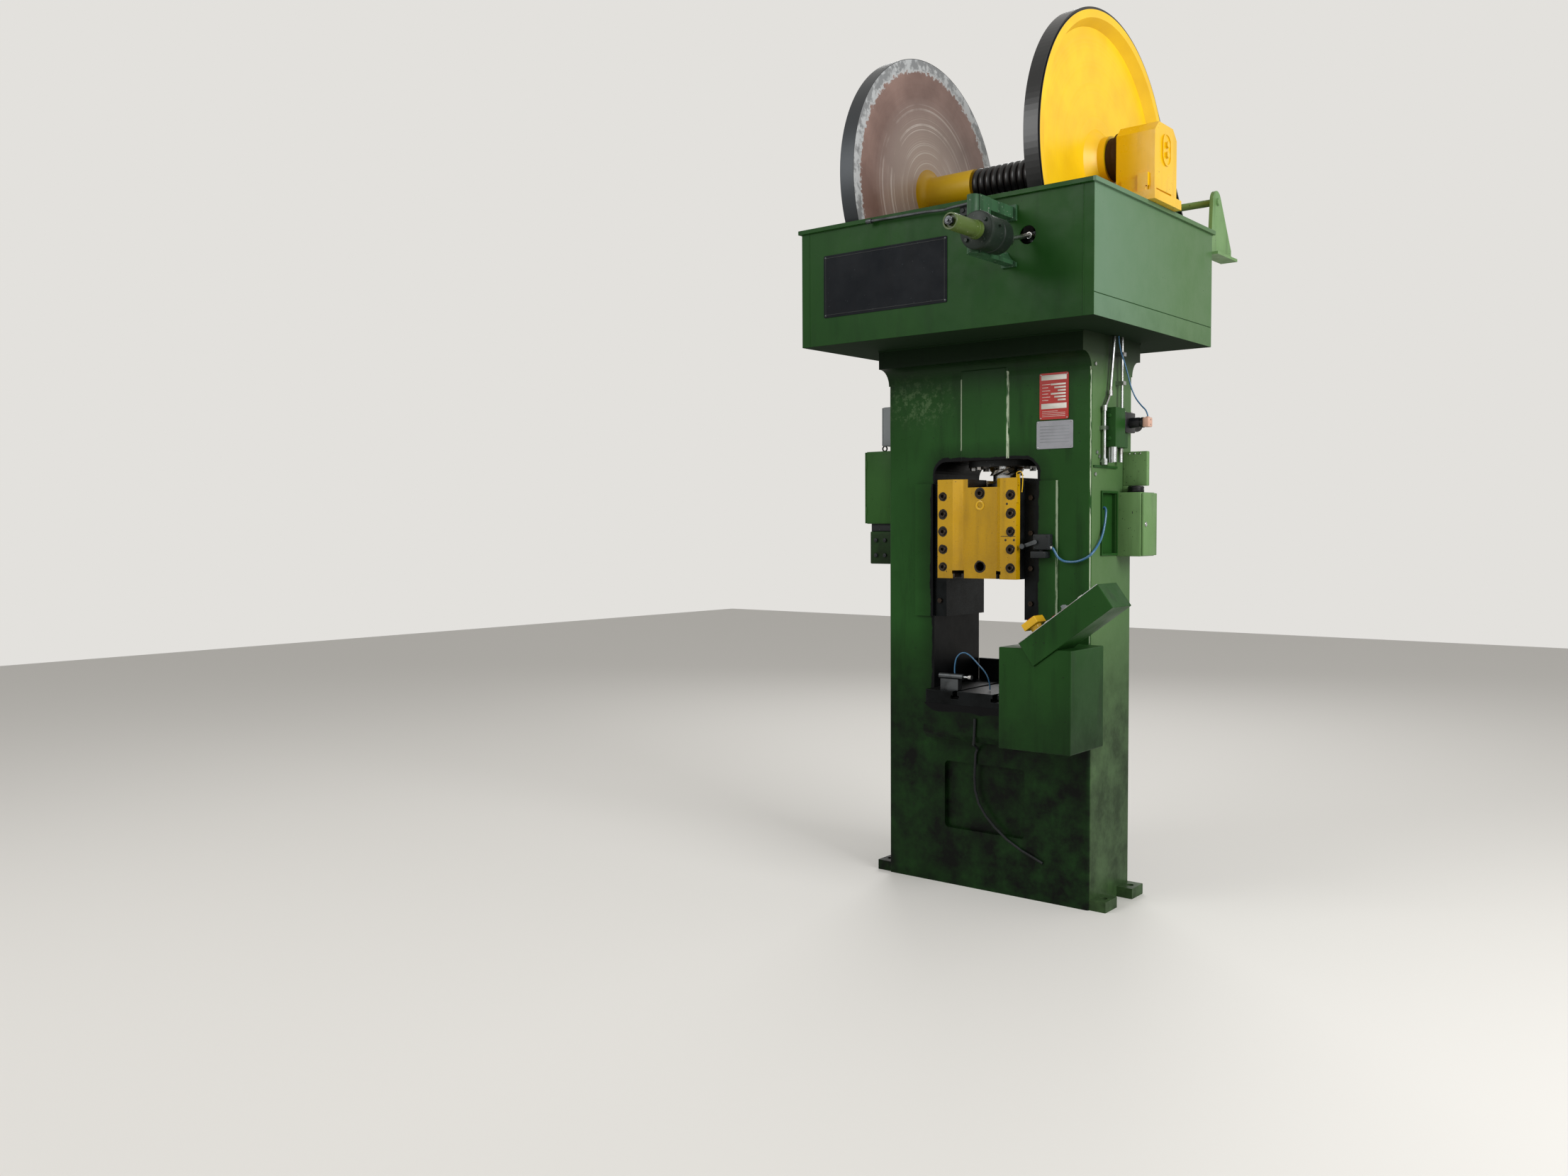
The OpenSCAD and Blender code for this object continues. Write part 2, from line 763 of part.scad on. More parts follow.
module head_casing() {
    color(green) difference() {
        union() {
            casing_box();
            casing_lip();
            both_sides() saddle();
        }
        translate([0, 0, head_z - 1]) cylinder(r = floor_hole_r, h = floor_t + 2);
        translate([hole_x, -case_front - 1, hole_z]) rotate([-90, 0, 0])
            cylinder(r = brake_hole_r, h = case_t + 2);
        translate([belt_x - 14, case_front - case_t - 1, head_z + 190])
            cube([belt_w + 28, case_t + lip_out + 3, case_h]);
        translate([case_w / 2 - 1.5, -case_front - 1, seam_z]) cube([3, case_d + 2, 3]);
    }
}

// Brake

brake_y0 = -case_front - 350;
brake_l = 175;
brake_r = 71;
tube_r = 31;
tube_l = 180;
rod_r = 10;

// Spring cylinder that stands off the casing's front, with its adjusting screw
module brake_cylinder() {
    color(green) translate([brake_x, brake_y0, brake_z]) rotate([-90, 0, 0]) {
        difference() {
            union() {
                rotate_extrude($fn = 72) polygon([
                    [0, 0], [brake_r - 6, 0], [brake_r, 6], [brake_r, 24], [brake_r - 5, 27],
                    [brake_r - 5, 96], [brake_r - 8, 98], [brake_r - 8, 102], [brake_r - 5, 104],
                    [brake_r - 5, brake_l - 12], [brake_r - 17, brake_l], [0, brake_l]]);
                translate([0, 0, -tube_l]) cylinder(r = tube_r, h = tube_l + 1);
            }
            translate([0, 0, -tube_l - 1]) cylinder(r = tube_r - 7, h = 12);
            translate([0, 0, brake_l - 60]) cylinder(r = rod_r + fit, h = 61);
        }
        translate([0, 0, -tube_l - 22]) cylinder(r = 11, h = 34);
        translate([0, 0, -tube_l - 12]) cylinder(r = 18, h = 12, $fn = 6);
    }
    color(steel) for (a = [40, 130, 220, 310]) translate([brake_x, brake_y0, brake_z])
        rotate([90, a, 0]) translate([52, 0, 0]) cylinder(r = 8, h = 8, $fn = 6);
}

// The two arms that carry the cylinder off the casing's front wall
module brake_arms() {
    arm_x0 = 318;
    arm_w = 41;
    arm_h = 44;
    lug_l = 100;
    y1 = brake_y0 + brake_l - 30;
    color(pale_green) difference() {
        for (z = [hole_z + 91, hole_z - 87]) {
            translate([arm_x0, y1, z - arm_h / 2]) cube([arm_w, -case_front - y1, arm_h]);
            translate([arm_x0 - 12, -case_front - 12, z - arm_h / 2 - 8])
                cube([arm_w + 24, 12, arm_h + 16]);
            lug_z = min(z - arm_h / 2, brake_z + 40);
            translate([arm_x0, y1 - lug_l + 24, lug_z])
                cube([arm_w + 12, lug_l - 23, z + arm_h / 2 - 4 - lug_z]);
            translate([arm_x0 + 24, y1 - lug_l + 24, lug_z]) cylinder(r = 24, h = z + arm_h / 2 - 4 - lug_z);
        }
        translate([brake_x, y1 - 300, brake_z]) rotate([-90, 0, 0])
            cylinder(r = brake_r - 5 + 0.02, h = 600);
    }
}

// Round bar between two points
module strut(a, b, r) {
    d = b - a;
    translate(a) rotate([0, acos(d.z / norm(d)), atan2(d.y, d.x)]) cylinder(r = r, h = norm(d));
}

lever_y = -case_front + 65;
lever_z = hole_z;
post_x = 108;
post_y = -case_front + 133;
post_r = 18;
eye_r = 20;

module brake_rod() {
    y1 = brake_y0 + brake_l - 58;
    bend_y = -case_front - 130;
    color(steel) {
        translate([brake_x, y1, brake_z]) rotate([-90, 0, 0])
            cylinder(r = rod_r, h = bend_y + 10 - y1);
        translate([brake_x, bend_y - 22, brake_z]) rotate([-90, 0, 0]) cylinder(r = 20, h = 50);
        strut([brake_x, bend_y, brake_z], [hole_x, -case_front + 14, hole_z], rod_r - 1);
        translate([hole_x, -case_front + 12, hole_z]) rotate([-90, 0, 0])
            cylinder(r = rod_r + 3, h = lever_y + case_front - 12 - eye_r - 0.5);
    }
}

// Fixed post that the brake lever turns on
module brake_post() {
    color(steel) translate([post_x, post_y, head_z + floor_t]) {
        cylinder(r = post_r, h = lever_z + 40 - head_z - floor_t);
        cylinder(r = post_r + 22, h = lever_z - 24 - head_z - floor_t);
    }
}

// Lever behind the wall: the rod pushes its eye, and its shoe meets the flywheel's rim
module brake_lever() {
    shoe_a = -50;
    shoe_r = wheel_r + 9;
    back_r = shoe_r + 30;
    arm_t = 40;
    color(dark_steel) difference() {
        union() {
            translate([0, 0, lever_z - arm_t / 2]) linear_extrude(arm_t) {
                hull() {
                    translate([post_x, post_y]) circle(r = 36, $fn = 32);
                    translate([hole_x, lever_y]) circle(r = eye_r, $fn = 32);
                }
                hull() {
                    translate([back_r * cos(shoe_a), back_r * sin(shoe_a)]) circle(r = 20, $fn = 32);
                    translate([(post_x + hole_x) / 2, (post_y + lever_y) / 2]) circle(r = 26, $fn = 32);
                }
            }
            rotate(shoe_a) translate([shoe_r + 6, -20, lever_z]) cube([40, 40, wheel_z + 40 - lever_z]);
            intersection() {
                translate([0, 0, wheel_z + 12]) difference() {
                    cylinder(r = shoe_r + 34, h = wheel_h - 24, $fn = 96);
                    translate([0, 0, -1]) cylinder(r = shoe_r, h = wheel_h, $fn = 96);
                }
                rotate(shoe_a) translate([300, -60, wheel_z]) cube([200, 120, wheel_h]);
            }
        }
        translate([post_x, post_y, 0]) cylinder(r = post_r + fit, h = case_top);
    }
}

hand_y = -case_front - 28;
hand_x = 192;
hand_z = case_top - 26;

// Hand lever under the casing's lip, for letting the brake off
module hand_lever() {
    color(steel) difference() {
        union() {
            tube([[hand_x + 22, hand_y, hand_z + 9], [hand_x, hand_y, hand_z + 6],
                  [90, hand_y, hand_z + 1], [60, hand_y, hand_z - 3], [-40, hand_y, hand_z + 3],
                  [-300, hand_y, hand_z + 7]], 5.5, 10);
            translate([hand_x, hand_y - 9, hand_z]) rotate([-90, 0, 0]) cylinder(r = 15, h = 18);
            translate([-300, hand_y, hand_z + 7]) rotate([0, -90, 0]) cylinder(r = 9, h = 26);
        }
        translate([hand_x, hand_y - 20, hand_z]) rotate([-90, 0, 0]) cylinder(r = 7 + fit, h = 40);
    }
}

module lever_bracket() {
    color(dark_steel) {
        translate([hand_x - 70, -case_front - 16, case_top - 62]) cube([110, 16, 40]);
        translate([hand_x, hand_y - 11, hand_z]) rotate([-90, 0, 0])
            cylinder(r = 7, h = -case_front - hand_y - 1);
        translate([hand_x, hand_y - 15, hand_z]) rotate([-90, 0, 0]) cylinder(r = 11, h = 4, $fn = 6);
        for (x = [-56, -22]) translate([hand_x + x, -case_front - 16, case_top - 42])
            rotate([90, 0, 0]) cylinder(r = 9, h = 5.5, $fn = 6);
    }
}

// Plates

name_w = 625;
name_h = 266;
name_edge = 123;
name_up = 118;
data_w = 132;
data_h = 192;
data_z = head_z - flange_t - fillet_r - 2 - data_h;
notice_w = 166;
notice_h = 116;
notice_z = data_z - 6 - notice_h;

module plate(x0, z0, w, h, y) {
    translate([x0, y, z0]) rotate([90, 0, 0]) linear_extrude(3)
        translate([w / 2, h / 2]) round_rect(w, h, 6);
}

module name_plate() {
    color("#2b2f36") plate(name_edge - case_w / 2, head_z + name_up, name_w, name_h, -case_front);
}

module rating_plate() {
    color("#b5342f") plate(half_win + 9, data_z, data_w, data_h, -frame_y);
}

module notice_plate() {
    color("#c9cac6") plate(half_win - 4, notice_z, notice_w, notice_h, -frame_y);
}

// Air and electrics on the frame's sides

side_x = frame_w / 2;

module valve_block() {
    color(green) {
        translate([side_x, -88, 1925]) cube([56, 92, 164]);
        translate([side_x, 4, 1925]) cube([46, 50, 62]);
        for (z = [1960, 2055]) translate([side_x + 28, -88, z]) rotate([90, 0, 0])
            cylinder(r = 9, h = 8, $fn = 6);
    }
}

module solenoid_valve() {
    color(black) {
        translate([side_x, 4 + slip, 1990]) cube([58, 96, 84]);
        translate([side_x + 29, 100, 2028]) rotate([-90, 0, 0]) cylinder(r = 27, h = 84);
        translate([side_x + 29, 184, 2028]) rotate([-90, 0, 0]) cylinder(r = 12, h = 18);
        translate([side_x + 57, 52, 2030]) rotate([0, 90, 0]) cylinder(r = 22, h = 62);
    }
    color("#c07a5a") translate([side_x + 118, 32, 2010]) cube([30, 40, 40]);
}

// Pipes down the side and the small filters under the valve block
module air_pipes() {
    pipe_x = side_x + 16;
    color(steel) {
        strut([pipe_x + 2, -24, head_z - 2], [pipe_x, -58, 2150], 7);
        strut([pipe_x, -58, 2150], [pipe_x, -108, 2085], 6.5);
        for (p = [[-58, 2150], [-108, 2085]]) translate([pipe_x, p.x, p.y - 11]) cylinder(r = 11, h = 22);
        translate([pipe_x, -108, 1860]) cylinder(r = 7, h = 227);
        translate([pipe_x, -108, 1852]) cylinder(r = 13, h = 24, $fn = 6);
        translate([side_x, -108, 1866]) rotate([0, 90, 0]) cylinder(r = 7, h = 16);
        translate([pipe_x + 8, 40, 2074]) cylinder(r = 6, h = head_z - 2075);
        for (x = [18, 46]) translate([side_x + x, -40 - x, 1862]) cylinder(r = 14, h = 63 - slip);
        translate([side_x + 24, 30, 1866]) cylinder(r = 10, h = 59 - slip);
    }
    color(dark_steel) {
        for (z = [2190, 2310]) translate([side_x, 26, z]) cube([36, 28, 16]);
        translate([side_x, -122, 1996]) cube([28, 30, 16]);
    }
    color(dark_steel) for (p = [[-168, 2262], [-150, 1902], [-164, 1812], [-128, 1886]])
        translate([side_x, p.x, p.y]) rotate([0, 90, 0]) cylinder(r = 8, h = 6, $fn = 6);
}

recess_y0 = -99;
recess_y1 = 38;
recess_z0 = 1484;
recess_z1 = 1736;
recess_depth = 26;
rim_w = 9;

// Cover in the recess of the frame's side with the hose's gland, its rim and the ledge above
module side_cover() {
    color(green) {
        translate([side_x - recess_depth, recess_y0 + slip, recess_z0 + slip])
            cube([10, recess_y1 - recess_y0 - 2 * slip, recess_z1 - recess_z0 - 2 * slip]);
        translate([side_x - recess_depth + 9, -74, 1675]) rotate([0, 90, 0])
            cylinder(r = 11, h = 14, $fn = 6);
        translate([side_x, recess_y0 - rim_w, recess_z0 - rim_w]) difference() {
            cube([7, recess_y1 - recess_y0 + 2 * rim_w, recess_z1 - recess_z0 + 2 * rim_w]);
            translate([-1, rim_w, rim_w]) cube([9, recess_y1 - recess_y0, recess_z1 - recess_z0]);
        }
        translate([side_x, -frame_y + 14, 1840]) cube([7, 220, 9]);
    }
}

box_d = 120;
box_w = 142;
box_z = 1470;
box_h = 270;
left_d = 152;
left_w = 200;
left_z = 1614;
left_h = 334;
left_y = -frame_y + 20;

// Boxes on the frame's two sides: the low cabinet with its oiler, and the left one with its eye
module side_box() {
    top = box_z + box_h;
    color(pale_green) {
        translate([side_x, recess_y1 + rim_w + 0.5, box_z]) cube([box_d, box_w, box_h]);
        translate([side_x, 104, top + 28]) cube([110, 26, 146]);
        translate([side_x, 104, top - 1]) cube([26, 26, 30]);
    }
    color(black) translate([side_x + 66, 92, top]) cylinder(r = 34, h = 26);
    left_cabinet();
}

module left_cabinet() {
    eye_r = 12;
    bracket_h = 150;
    junction_z = left_z + left_h + 26;
    color(pale_green) {
        translate([-side_x - left_d, left_y, left_z]) cube([left_d, left_w, left_h]);
        translate([-side_x - left_d + 24, left_y + 20, left_z - 36])
            cube([left_d - 24, left_w - 40, 40]);
        translate([-side_x - left_d + 24, left_y + 10, left_z - 36 - bracket_h])
            cube([left_d - 24, left_w - 20, bracket_h + 1]);
        translate([-side_x - left_d + 46, left_y + left_w / 2, left_z + left_h - 1]) {
            cylinder(r = 10, h = 8);
            translate([0, 0, 7 + eye_r]) rotate([90, 0, 0]) rotate_extrude()
                translate([eye_r, 0]) circle(r = 3.5, $fn = 24);
        }
        translate([-side_x - 90, left_y + 50, junction_z]) cube([90, 60, 180]);
    }
}

switch_x = 282;
switch_z = 1500;

module limit_switch() {
    color(dark_steel) {
        translate([switch_x - 24, -frame_y - pad_out - 34, switch_z]) cube([76, 34, 66]);
        translate([switch_x - 30, -frame_y - pad_out - 44, switch_z - 34]) cube([70, 44, 28]);
        translate([switch_x + 8, -frame_y - pad_out - 16, switch_z - 6 - slip])
            cylinder(r = 10, h = 8);
    }
}

module switch_roller() {
    roller_y = -frame_y - pad_out - 44;
    roller_r = 11;
    roller_x = half_ram + 10 + slip + 3 + roller_r;
    color(steel) translate([0, roller_y, switch_z + 33]) rotate([-90, 0, 0]) {
        translate([switch_x - 8, 0, 0]) cylinder(r = 6, h = 9.7);
        translate([0, 0, 0]) linear_extrude(5) hull() {
            translate([switch_x - 8, 0]) circle(r = 9, $fn = 32);
            translate([roller_x, 18]) circle(r = 7, $fn = 32);
        }
        translate([roller_x, 18, -10]) cylinder(r = roller_r, h = 9);
        translate([roller_x, 18, -2]) cylinder(r = 4, h = 4);
    }
}

// Route of the blue hose from the side cover round the corner to the limit switch
hose_r = 5;
hose_y = -frame_y - pad_out;
hose_route = [[side_x - 2.5, -74, 1675], [side_x + 3, -74, 1674.6], [side_x + 10, -78, 1666],
              [side_x + 14, -87, 1644], [side_x + 15, -101, 1600], [side_x + 15, -124, 1556],
              [side_x + 14, -154, 1524], [side_x + 13, hose_y + 17, 1498], [side_x + 2, hose_y - 2, 1478],
              [474, hose_y - 5, 1462], [444, hose_y - 6, 1453], [414, hose_y - 6, 1451],
              [386, hose_y - 7, 1455], [364, hose_y - 11, 1470], [353, hose_y - 15, 1490],
              [344, hose_y - 17, 1506], [335.4, hose_y - 17, 1509]];

// Tube swept along a route, with one ring of corners at each point
module tube(route, r, sides = 8) {
    n = len(route);
    function along(i) = let (a = route[max(i - 1, 0)], b = route[min(i + 1, n - 1)])
        (b - a) / norm(b - a);
    function ring(i) = let (t = along(i), u = cross(t, [0.3, 0.2, 1]) / norm(cross(t, [0.3, 0.2, 1])),
                            v = cross(t, u))
        [for (k = [0:sides - 1]) route[i] + r * (u * cos(360 * k / sides) + v * sin(360 * k / sides))];
    points = [for (i = [0:n - 1]) each ring(i)];
    walls = [for (i = [0:n - 2], k = [0:sides - 1]) let (a = i * sides + k,
             b = i * sides + (k + 1) % sides) [a, a + sides, b + sides, b]];
    ends = [[for (k = [0:sides - 1]) k], [for (k = [0:sides - 1]) n * sides - 1 - k]];
    polyhedron(points, concat(walls, ends));
}

module switch_hose() {
    color("#3d6f9e") tube(hose_route, hose_r);
}

// Control desk

desk_x = 335;
desk_z = 1130;
desk_y = -500;
ped_x0 = 240;
ped_x1 = 560;
ped_front = 490;
ped_z = 695;
ped_h = 415;

// Pedestal with a notch in its top that the control box sits in
module pedestal() {
    color(green) difference() {
        translate([ped_x0, -ped_front, ped_z])
            cube([ped_x1 - ped_x0, ped_front - frame_y, ped_h]);
        on_panel() translate([-slip, -20, -desk_d - slip])
            cube([desk_l, desk_w + 20 + slip, desk_d + 100]);
        translate([ped_x0 - 1, -ledge_y - slip, ped_z - 5])
            cube([apron_half - ped_x0 + 1 + slip, ledge_out + 10, bed_z + bolster_t - ped_z + 5 + slip]);
    }
}

// Frame of the tilted box: X runs up its panel and Z stands out of the panel
module on_panel() {
    translate([desk_x, desk_y, desk_z]) rotate([0, -desk_tilt, 0]) children();
}

module control_box() {
    color(green) on_panel() translate([0, 0, -desk_d]) cube([desk_l, desk_w, desk_d]);
}

panel_y = desk_w / 2;
station_x = 64;
stop_x1 = 158;
knob_x = 214;
start_x = 297;
inch_x = 118;

module at_panel(x) {
    on_panel() translate([x, panel_y, 0]) children();
}

// Yellow shroud of the emergency stop, raised on a round base
module stop_station() {
    color(yellow) at_panel(station_x) difference() {
        union() {
            translate([-36, -38, 34]) cube([72, 76, 30]);
            cylinder(r = 24, h = 35);
        }
        translate([0, 0, 44]) cylinder(r = 29, h = 40);
        translate([0, 0, -1]) cylinder(r = 11 + fit, h = 60);
    }
}

module stop_button() {
    color("#b3241f") at_panel(station_x) {
        translate([0, 0, 18]) cylinder(r = 11, h = 35);
        translate([0, 0, 52]) cylinder(r = 23, h = 17);
    }
}

module push_button() {
    translate([0, 0, 8]) cylinder(r = 13, h = 13);
}

module button_bezel() {
    difference() {
        cylinder(r = 19, h = 14);
        translate([0, 0, -1]) cylinder(r = 13 + fit, h = 20);
    }
}

module button_bezels() {
    color(black) {
        for (x = [inch_x, stop_x1, start_x]) at_panel(x) button_bezel();
        at_panel(knob_x) difference() {
            translate([-18, -18, 0]) cube([36, 36, 16]);
            translate([0, 0, -1]) cylinder(r = 9 + fit, h = 20);
        }
    }
}

module start_button() {
    color("#f0efe9") at_panel(start_x) push_button();
}

module inch_button() {
    color("#e4e2da") at_panel(inch_x) push_button();
}

module halt_button() {
    color("#b84a42") at_panel(stop_x1) push_button();
}

module mode_knob() {
    color("#9aa0a3") at_panel(knob_x) {
        translate([0, 0, 3]) cylinder(r = 9, h = 14);
        translate([0, 0, 16.3]) cylinder(r = 16, h = 8);
        translate([-5, -15, 24]) cube([10, 30, 10]);
    }
}

// Small things on the bed and the base

module floor_conduit() {
    wall = -frame_y - 6.2;
    apron = -ledge_y - 6.2;
    color(dark_steel) tube([[6, apron, 770], [2, apron, 690], [-6, apron + 8, 655], [-24, wall - 8, 628],
        [-38, wall, 600], [-43, wall, 500], [-40, wall, 440], [-22, wall, 384], [13, wall, 334],
        [60, wall, 288], [119, wall, 244], [190, wall, 207], [290, wall, 168]], 6);
}

stop_x = -150;
stop_y = -232;
stop_z = bed_z + bolster_t + 60;

module stop_cylinder() {
    color(steel) {
        translate([stop_x - 52, stop_y, stop_z]) rotate([0, 90, 0]) difference() {
            cylinder(r = 13, h = 120);
            translate([0, 0, 60]) cylinder(r = 5 + fit, h = 80);
        }
        translate([stop_x - 40, stop_y - 16, bed_z + bolster_t]) cube([90, 32, 49]);
    }
}

module stop_rod() {
    color(steel) translate([stop_x + 10, stop_y, stop_z]) rotate([0, 90, 0]) {
        cylinder(r = 5, h = 100);
        translate([0, 0, 86]) cylinder(r = 11, h = 14);
    }
}

frame();
head_casing();
bolster_plate();
rear_sill();
lead_nut();
nut_retainer();
nut_bolts();
gibs();
gib_bolts();
ram();
ram_liners();
ram_bolts();
screw_cap();
switch_cam();
screw();
flywheel();
friction_band();
drive_shaft();
left_disc();
right_disc();
bellows();
bearing_housings();
bearing_caps();
bearing_seals();
thrust_rings();
motor();
motor_bracket();
motor_pulley();
drive_belt();
brake_cylinder();
brake_arms();
brake_rod();
brake_post();
brake_lever();
hand_lever();
lever_bracket();
name_plate();
rating_plate();
notice_plate();
valve_block();
solenoid_valve();
air_pipes();
side_cover();
side_box();
limit_switch();
switch_roller();
switch_hose();
pedestal();
control_box();
stop_station();
stop_button();
button_bezels();
start_button();
inch_button();
halt_button();
mode_knob();
floor_conduit();
ejector_pin();
stop_cylinder();
stop_rod();
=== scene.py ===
import functools
import math
import bmesh
import bpy
import numpy as np
from mathutils import Matrix, Vector


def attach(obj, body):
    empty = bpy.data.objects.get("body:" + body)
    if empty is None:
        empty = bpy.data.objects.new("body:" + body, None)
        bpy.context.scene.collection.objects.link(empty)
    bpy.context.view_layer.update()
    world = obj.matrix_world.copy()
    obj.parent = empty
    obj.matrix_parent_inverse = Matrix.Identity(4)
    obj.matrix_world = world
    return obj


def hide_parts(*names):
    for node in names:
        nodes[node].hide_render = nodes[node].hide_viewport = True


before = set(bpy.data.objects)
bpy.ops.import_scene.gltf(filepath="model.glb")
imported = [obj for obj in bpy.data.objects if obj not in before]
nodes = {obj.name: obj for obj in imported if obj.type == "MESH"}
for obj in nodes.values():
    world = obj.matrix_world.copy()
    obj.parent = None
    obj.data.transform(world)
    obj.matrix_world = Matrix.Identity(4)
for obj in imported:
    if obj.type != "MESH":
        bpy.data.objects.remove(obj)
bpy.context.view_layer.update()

mm = 0.001
toRight, toLeft, toBack, toFront, toTop = (1, 0, 0), (-1, 0, 0), (0, 1, 0), (0, -1, 0), (0, 0, 1)
print("frame loaded:", len(nodes), "nodes")


# Camera at the place that the photograph was taken from
viewpoint = {
    "spot": (2.864, -5.095, 1.600),
    "yaw": 39.141,       # degrees to the left of straight ahead
    "pitch": 2.695,      # degrees down
    "roll": -0.289,
    "focal": 1819.5,     # in pixels of the photograph
    "imageWidth": 2212,
    "sensor": 36.0,
    "clipEnd": 100,
}


def placeCamera(v):
    yaw, pitch, roll = (math.radians(v[k]) for k in ("yaw", "pitch", "roll"))
    lens = bpy.data.cameras.new("photoView")
    lens.sensor_width = v["sensor"]
    lens.lens = v["focal"] / v["imageWidth"] * v["sensor"]
    lens.clip_end = v["clipEnd"]
    camera = bpy.data.objects.new("photoView", lens)
    camera.matrix_world = (Matrix.Rotation(yaw, 4, "Z") @ Matrix.Rotation(math.pi / 2 - pitch, 4, "X")
                           @ Matrix.Rotation(roll, 4, "Z"))
    camera.location = v["spot"]
    bpy.context.scene.collection.objects.link(camera)
    bpy.context.scene.camera = camera


placeCamera(viewpoint)
print("camera placed")


# Colours are written as sRGB hex and turned to linear here
def linear(hexColour):
    parts = [int(hexColour[i:i + 2], 16) / 255 for i in (1, 3, 5)]
    return tuple(p / 12.92 if p <= 0.04045 else ((p + 0.055) / 1.055) ** 2.4 for p in parts) + (1.0,)


def perSize(size):
    return 1000.0 / size     # texture scale for features of that many millimetres


# Gives a node its settings and values: plain values fill its open sockets in order, named ones are settings
# or sockets, and a node given as a value is linked by its first open output
def fill(node, *values, **settings):
    named = []
    for key, value in settings.items():
        if hasattr(node, key):
            setattr(node, key, value)
        else:
            named.append((node.inputs[key.replace("_", " ")], value))
    opened = [socket for socket in node.inputs if socket.enabled]
    for socket, value in list(zip(opened, values)) + named:
        if isinstance(value, bpy.types.Node):
            value = next(output for output in value.outputs if output.enabled)
        if isinstance(value, bpy.types.NodeSocket):
            node.id_data.links.new(value, socket)
        else:
            socket.default_value = linear(value) if isinstance(value, str) else value
    return node


# Adds one shader node with its settings and links; a second word in its kind is its operation or data type
def addNode(tree, kind, *values, **settings):
    kind, _, mode = kind.partition(" ")
    node = tree.nodes.new("ShaderNode" + kind)
    if mode:
        setattr(node, "operation" if hasattr(node, "operation") else "data_type", mode)
    return fill(node, *values, **settings)


def newMaterial(name, **sockets):
    material = bpy.data.materials.new(name)
    material.use_nodes = True
    shader = fill(material.node_tree.nodes["Principled BSDF"], **sockets)
    return material, functools.partial(addNode, material.node_tree), shader


# How far a value lies from a middle, to either side
def apart(add, value, middle):
    return add("Math ABSOLUTE", add("Math SUBTRACT", value, middle))


# Black paint and oil round the window: how far a point lies outside the window's rounded outline
def windowPaint(add, spot, mottled, colour, look):
    x, _, z = spot
    half, bottom, top, corner, band = look["window"]
    wide = add("Math SUBTRACT", add("Math ABSOLUTE", x), half - corner)
    high = add("Math SUBTRACT", apart(add, z, (top + bottom) / 2), (top - bottom) / 2 - corner)
    past = add("VectorMath MAXIMUM", add("CombineXYZ", wide, high), (0, 0, 0))
    away = add("Math SUBTRACT", add("VectorMath LENGTH", past), corner)
    away = add("Math ADD", away, add("MapRange", mottled, 0.3, 0.7, -0.008, 0.008))
    black = add("MapRange", away, band, band - look["bandEdge"])
    oily = add("MapRange", away, band + look["oilReach"], band, 0, look["oilMost"])
    colour = add("Mix RGBA", oily, colour, look["colours"][2])
    return add("Mix RGBA", black, colour, look["blackPaint"])


# Edges painted bright, partly rubbed paint and partly a painted highlight along the rounded edges: broken
# vertical lines at the given places across the front
def wornHighlightLines(add, spot, tall, colour, look):
    x, y, z = spot
    broken = add("MapRange", add("TexNoise", tall, perSize(14), 4.0, 0.7), 0.40, 0.50)
    broken = add("Math MULTIPLY", broken, add("Math LESS_THAN", y, look["frontY"]))
    for place, half, bottom, top, amount in look["worn"]:
        near = add("MapRange", apart(add, x, place), half, half * 0.4, 0, amount)
        level = add("Math LESS_THAN", apart(add, z, (bottom + top) / 2), (top - bottom) / 2)
        line = add("Math MULTIPLY", add("Math MULTIPLY", near, level), broken)
        colour = add("Mix RGBA", line, colour, look["wornColour"])
    return colour


# Ram: paint broken away round each sunk screw, and painted shade, near black, inside the sunk pockets, the
# round holes, the tee slots and on the notch's left wall
def ramWearAndShade(add, spot, mottled, colour, look):
    x, y, z = spot
    screw, pitch = look["radius"], look["pitch"]
    across = add("Math ABSOLUTE", x)
    aside = add("Math SUBTRACT", across, look["x"])
    above = add("Math FLOORED_MODULO", add("Math SUBTRACT", z, look["z"] - pitch / 2), pitch)
    above = add("Math SUBTRACT", above, pitch / 2)
    nearest = add("VectorMath LENGTH", add("CombineXYZ", aside, above))
    for height, radius in look["holes"]:
        reach = add("VectorMath LENGTH", add("CombineXYZ", x, add("Math SUBTRACT", z, height)))
        nearest = add("Math MINIMUM", nearest, add("Math SUBTRACT", reach, radius - screw))
    nearest = add("Math ADD", nearest, add("MapRange", mottled, 0.35, 0.65, -0.004, 0.004))
    broken = add("MapRange", nearest, screw + look["fade"], screw)
    broken = add("Math MULTIPLY", broken, add("Math LESS_THAN", y, look["deep"]))
    broken = add("Math MULTIPLY", broken, add("Math LESS_THAN", z, look["notchZ"] + look["notchRim"]))
    # the notch's left wall is painted dark as painted shade
    wall = add("Math LESS_THAN", apart(add, x, look["notchX"]), look["wallHalf"])
    wall = add("Math MULTIPLY", wall, add("Math GREATER_THAN", z, look["notchZ"]))
    broken = add("Math MAXIMUM", broken, wall)
    # the tee slots' walls are painted dark as painted shade
    slot = add("Math LESS_THAN", apart(add, across, look["slotX"]), look["slotHalf"])
    slot = add("Math MULTIPLY", slot, add("Math LESS_THAN", z, look["slotTop"]))
    slot = add("Math MULTIPLY", slot, add("Math GREATER_THAN", y, look["front"]))
    return add("Mix RGBA", add("Math MAXIMUM", broken, slot), colour, look["oil"])
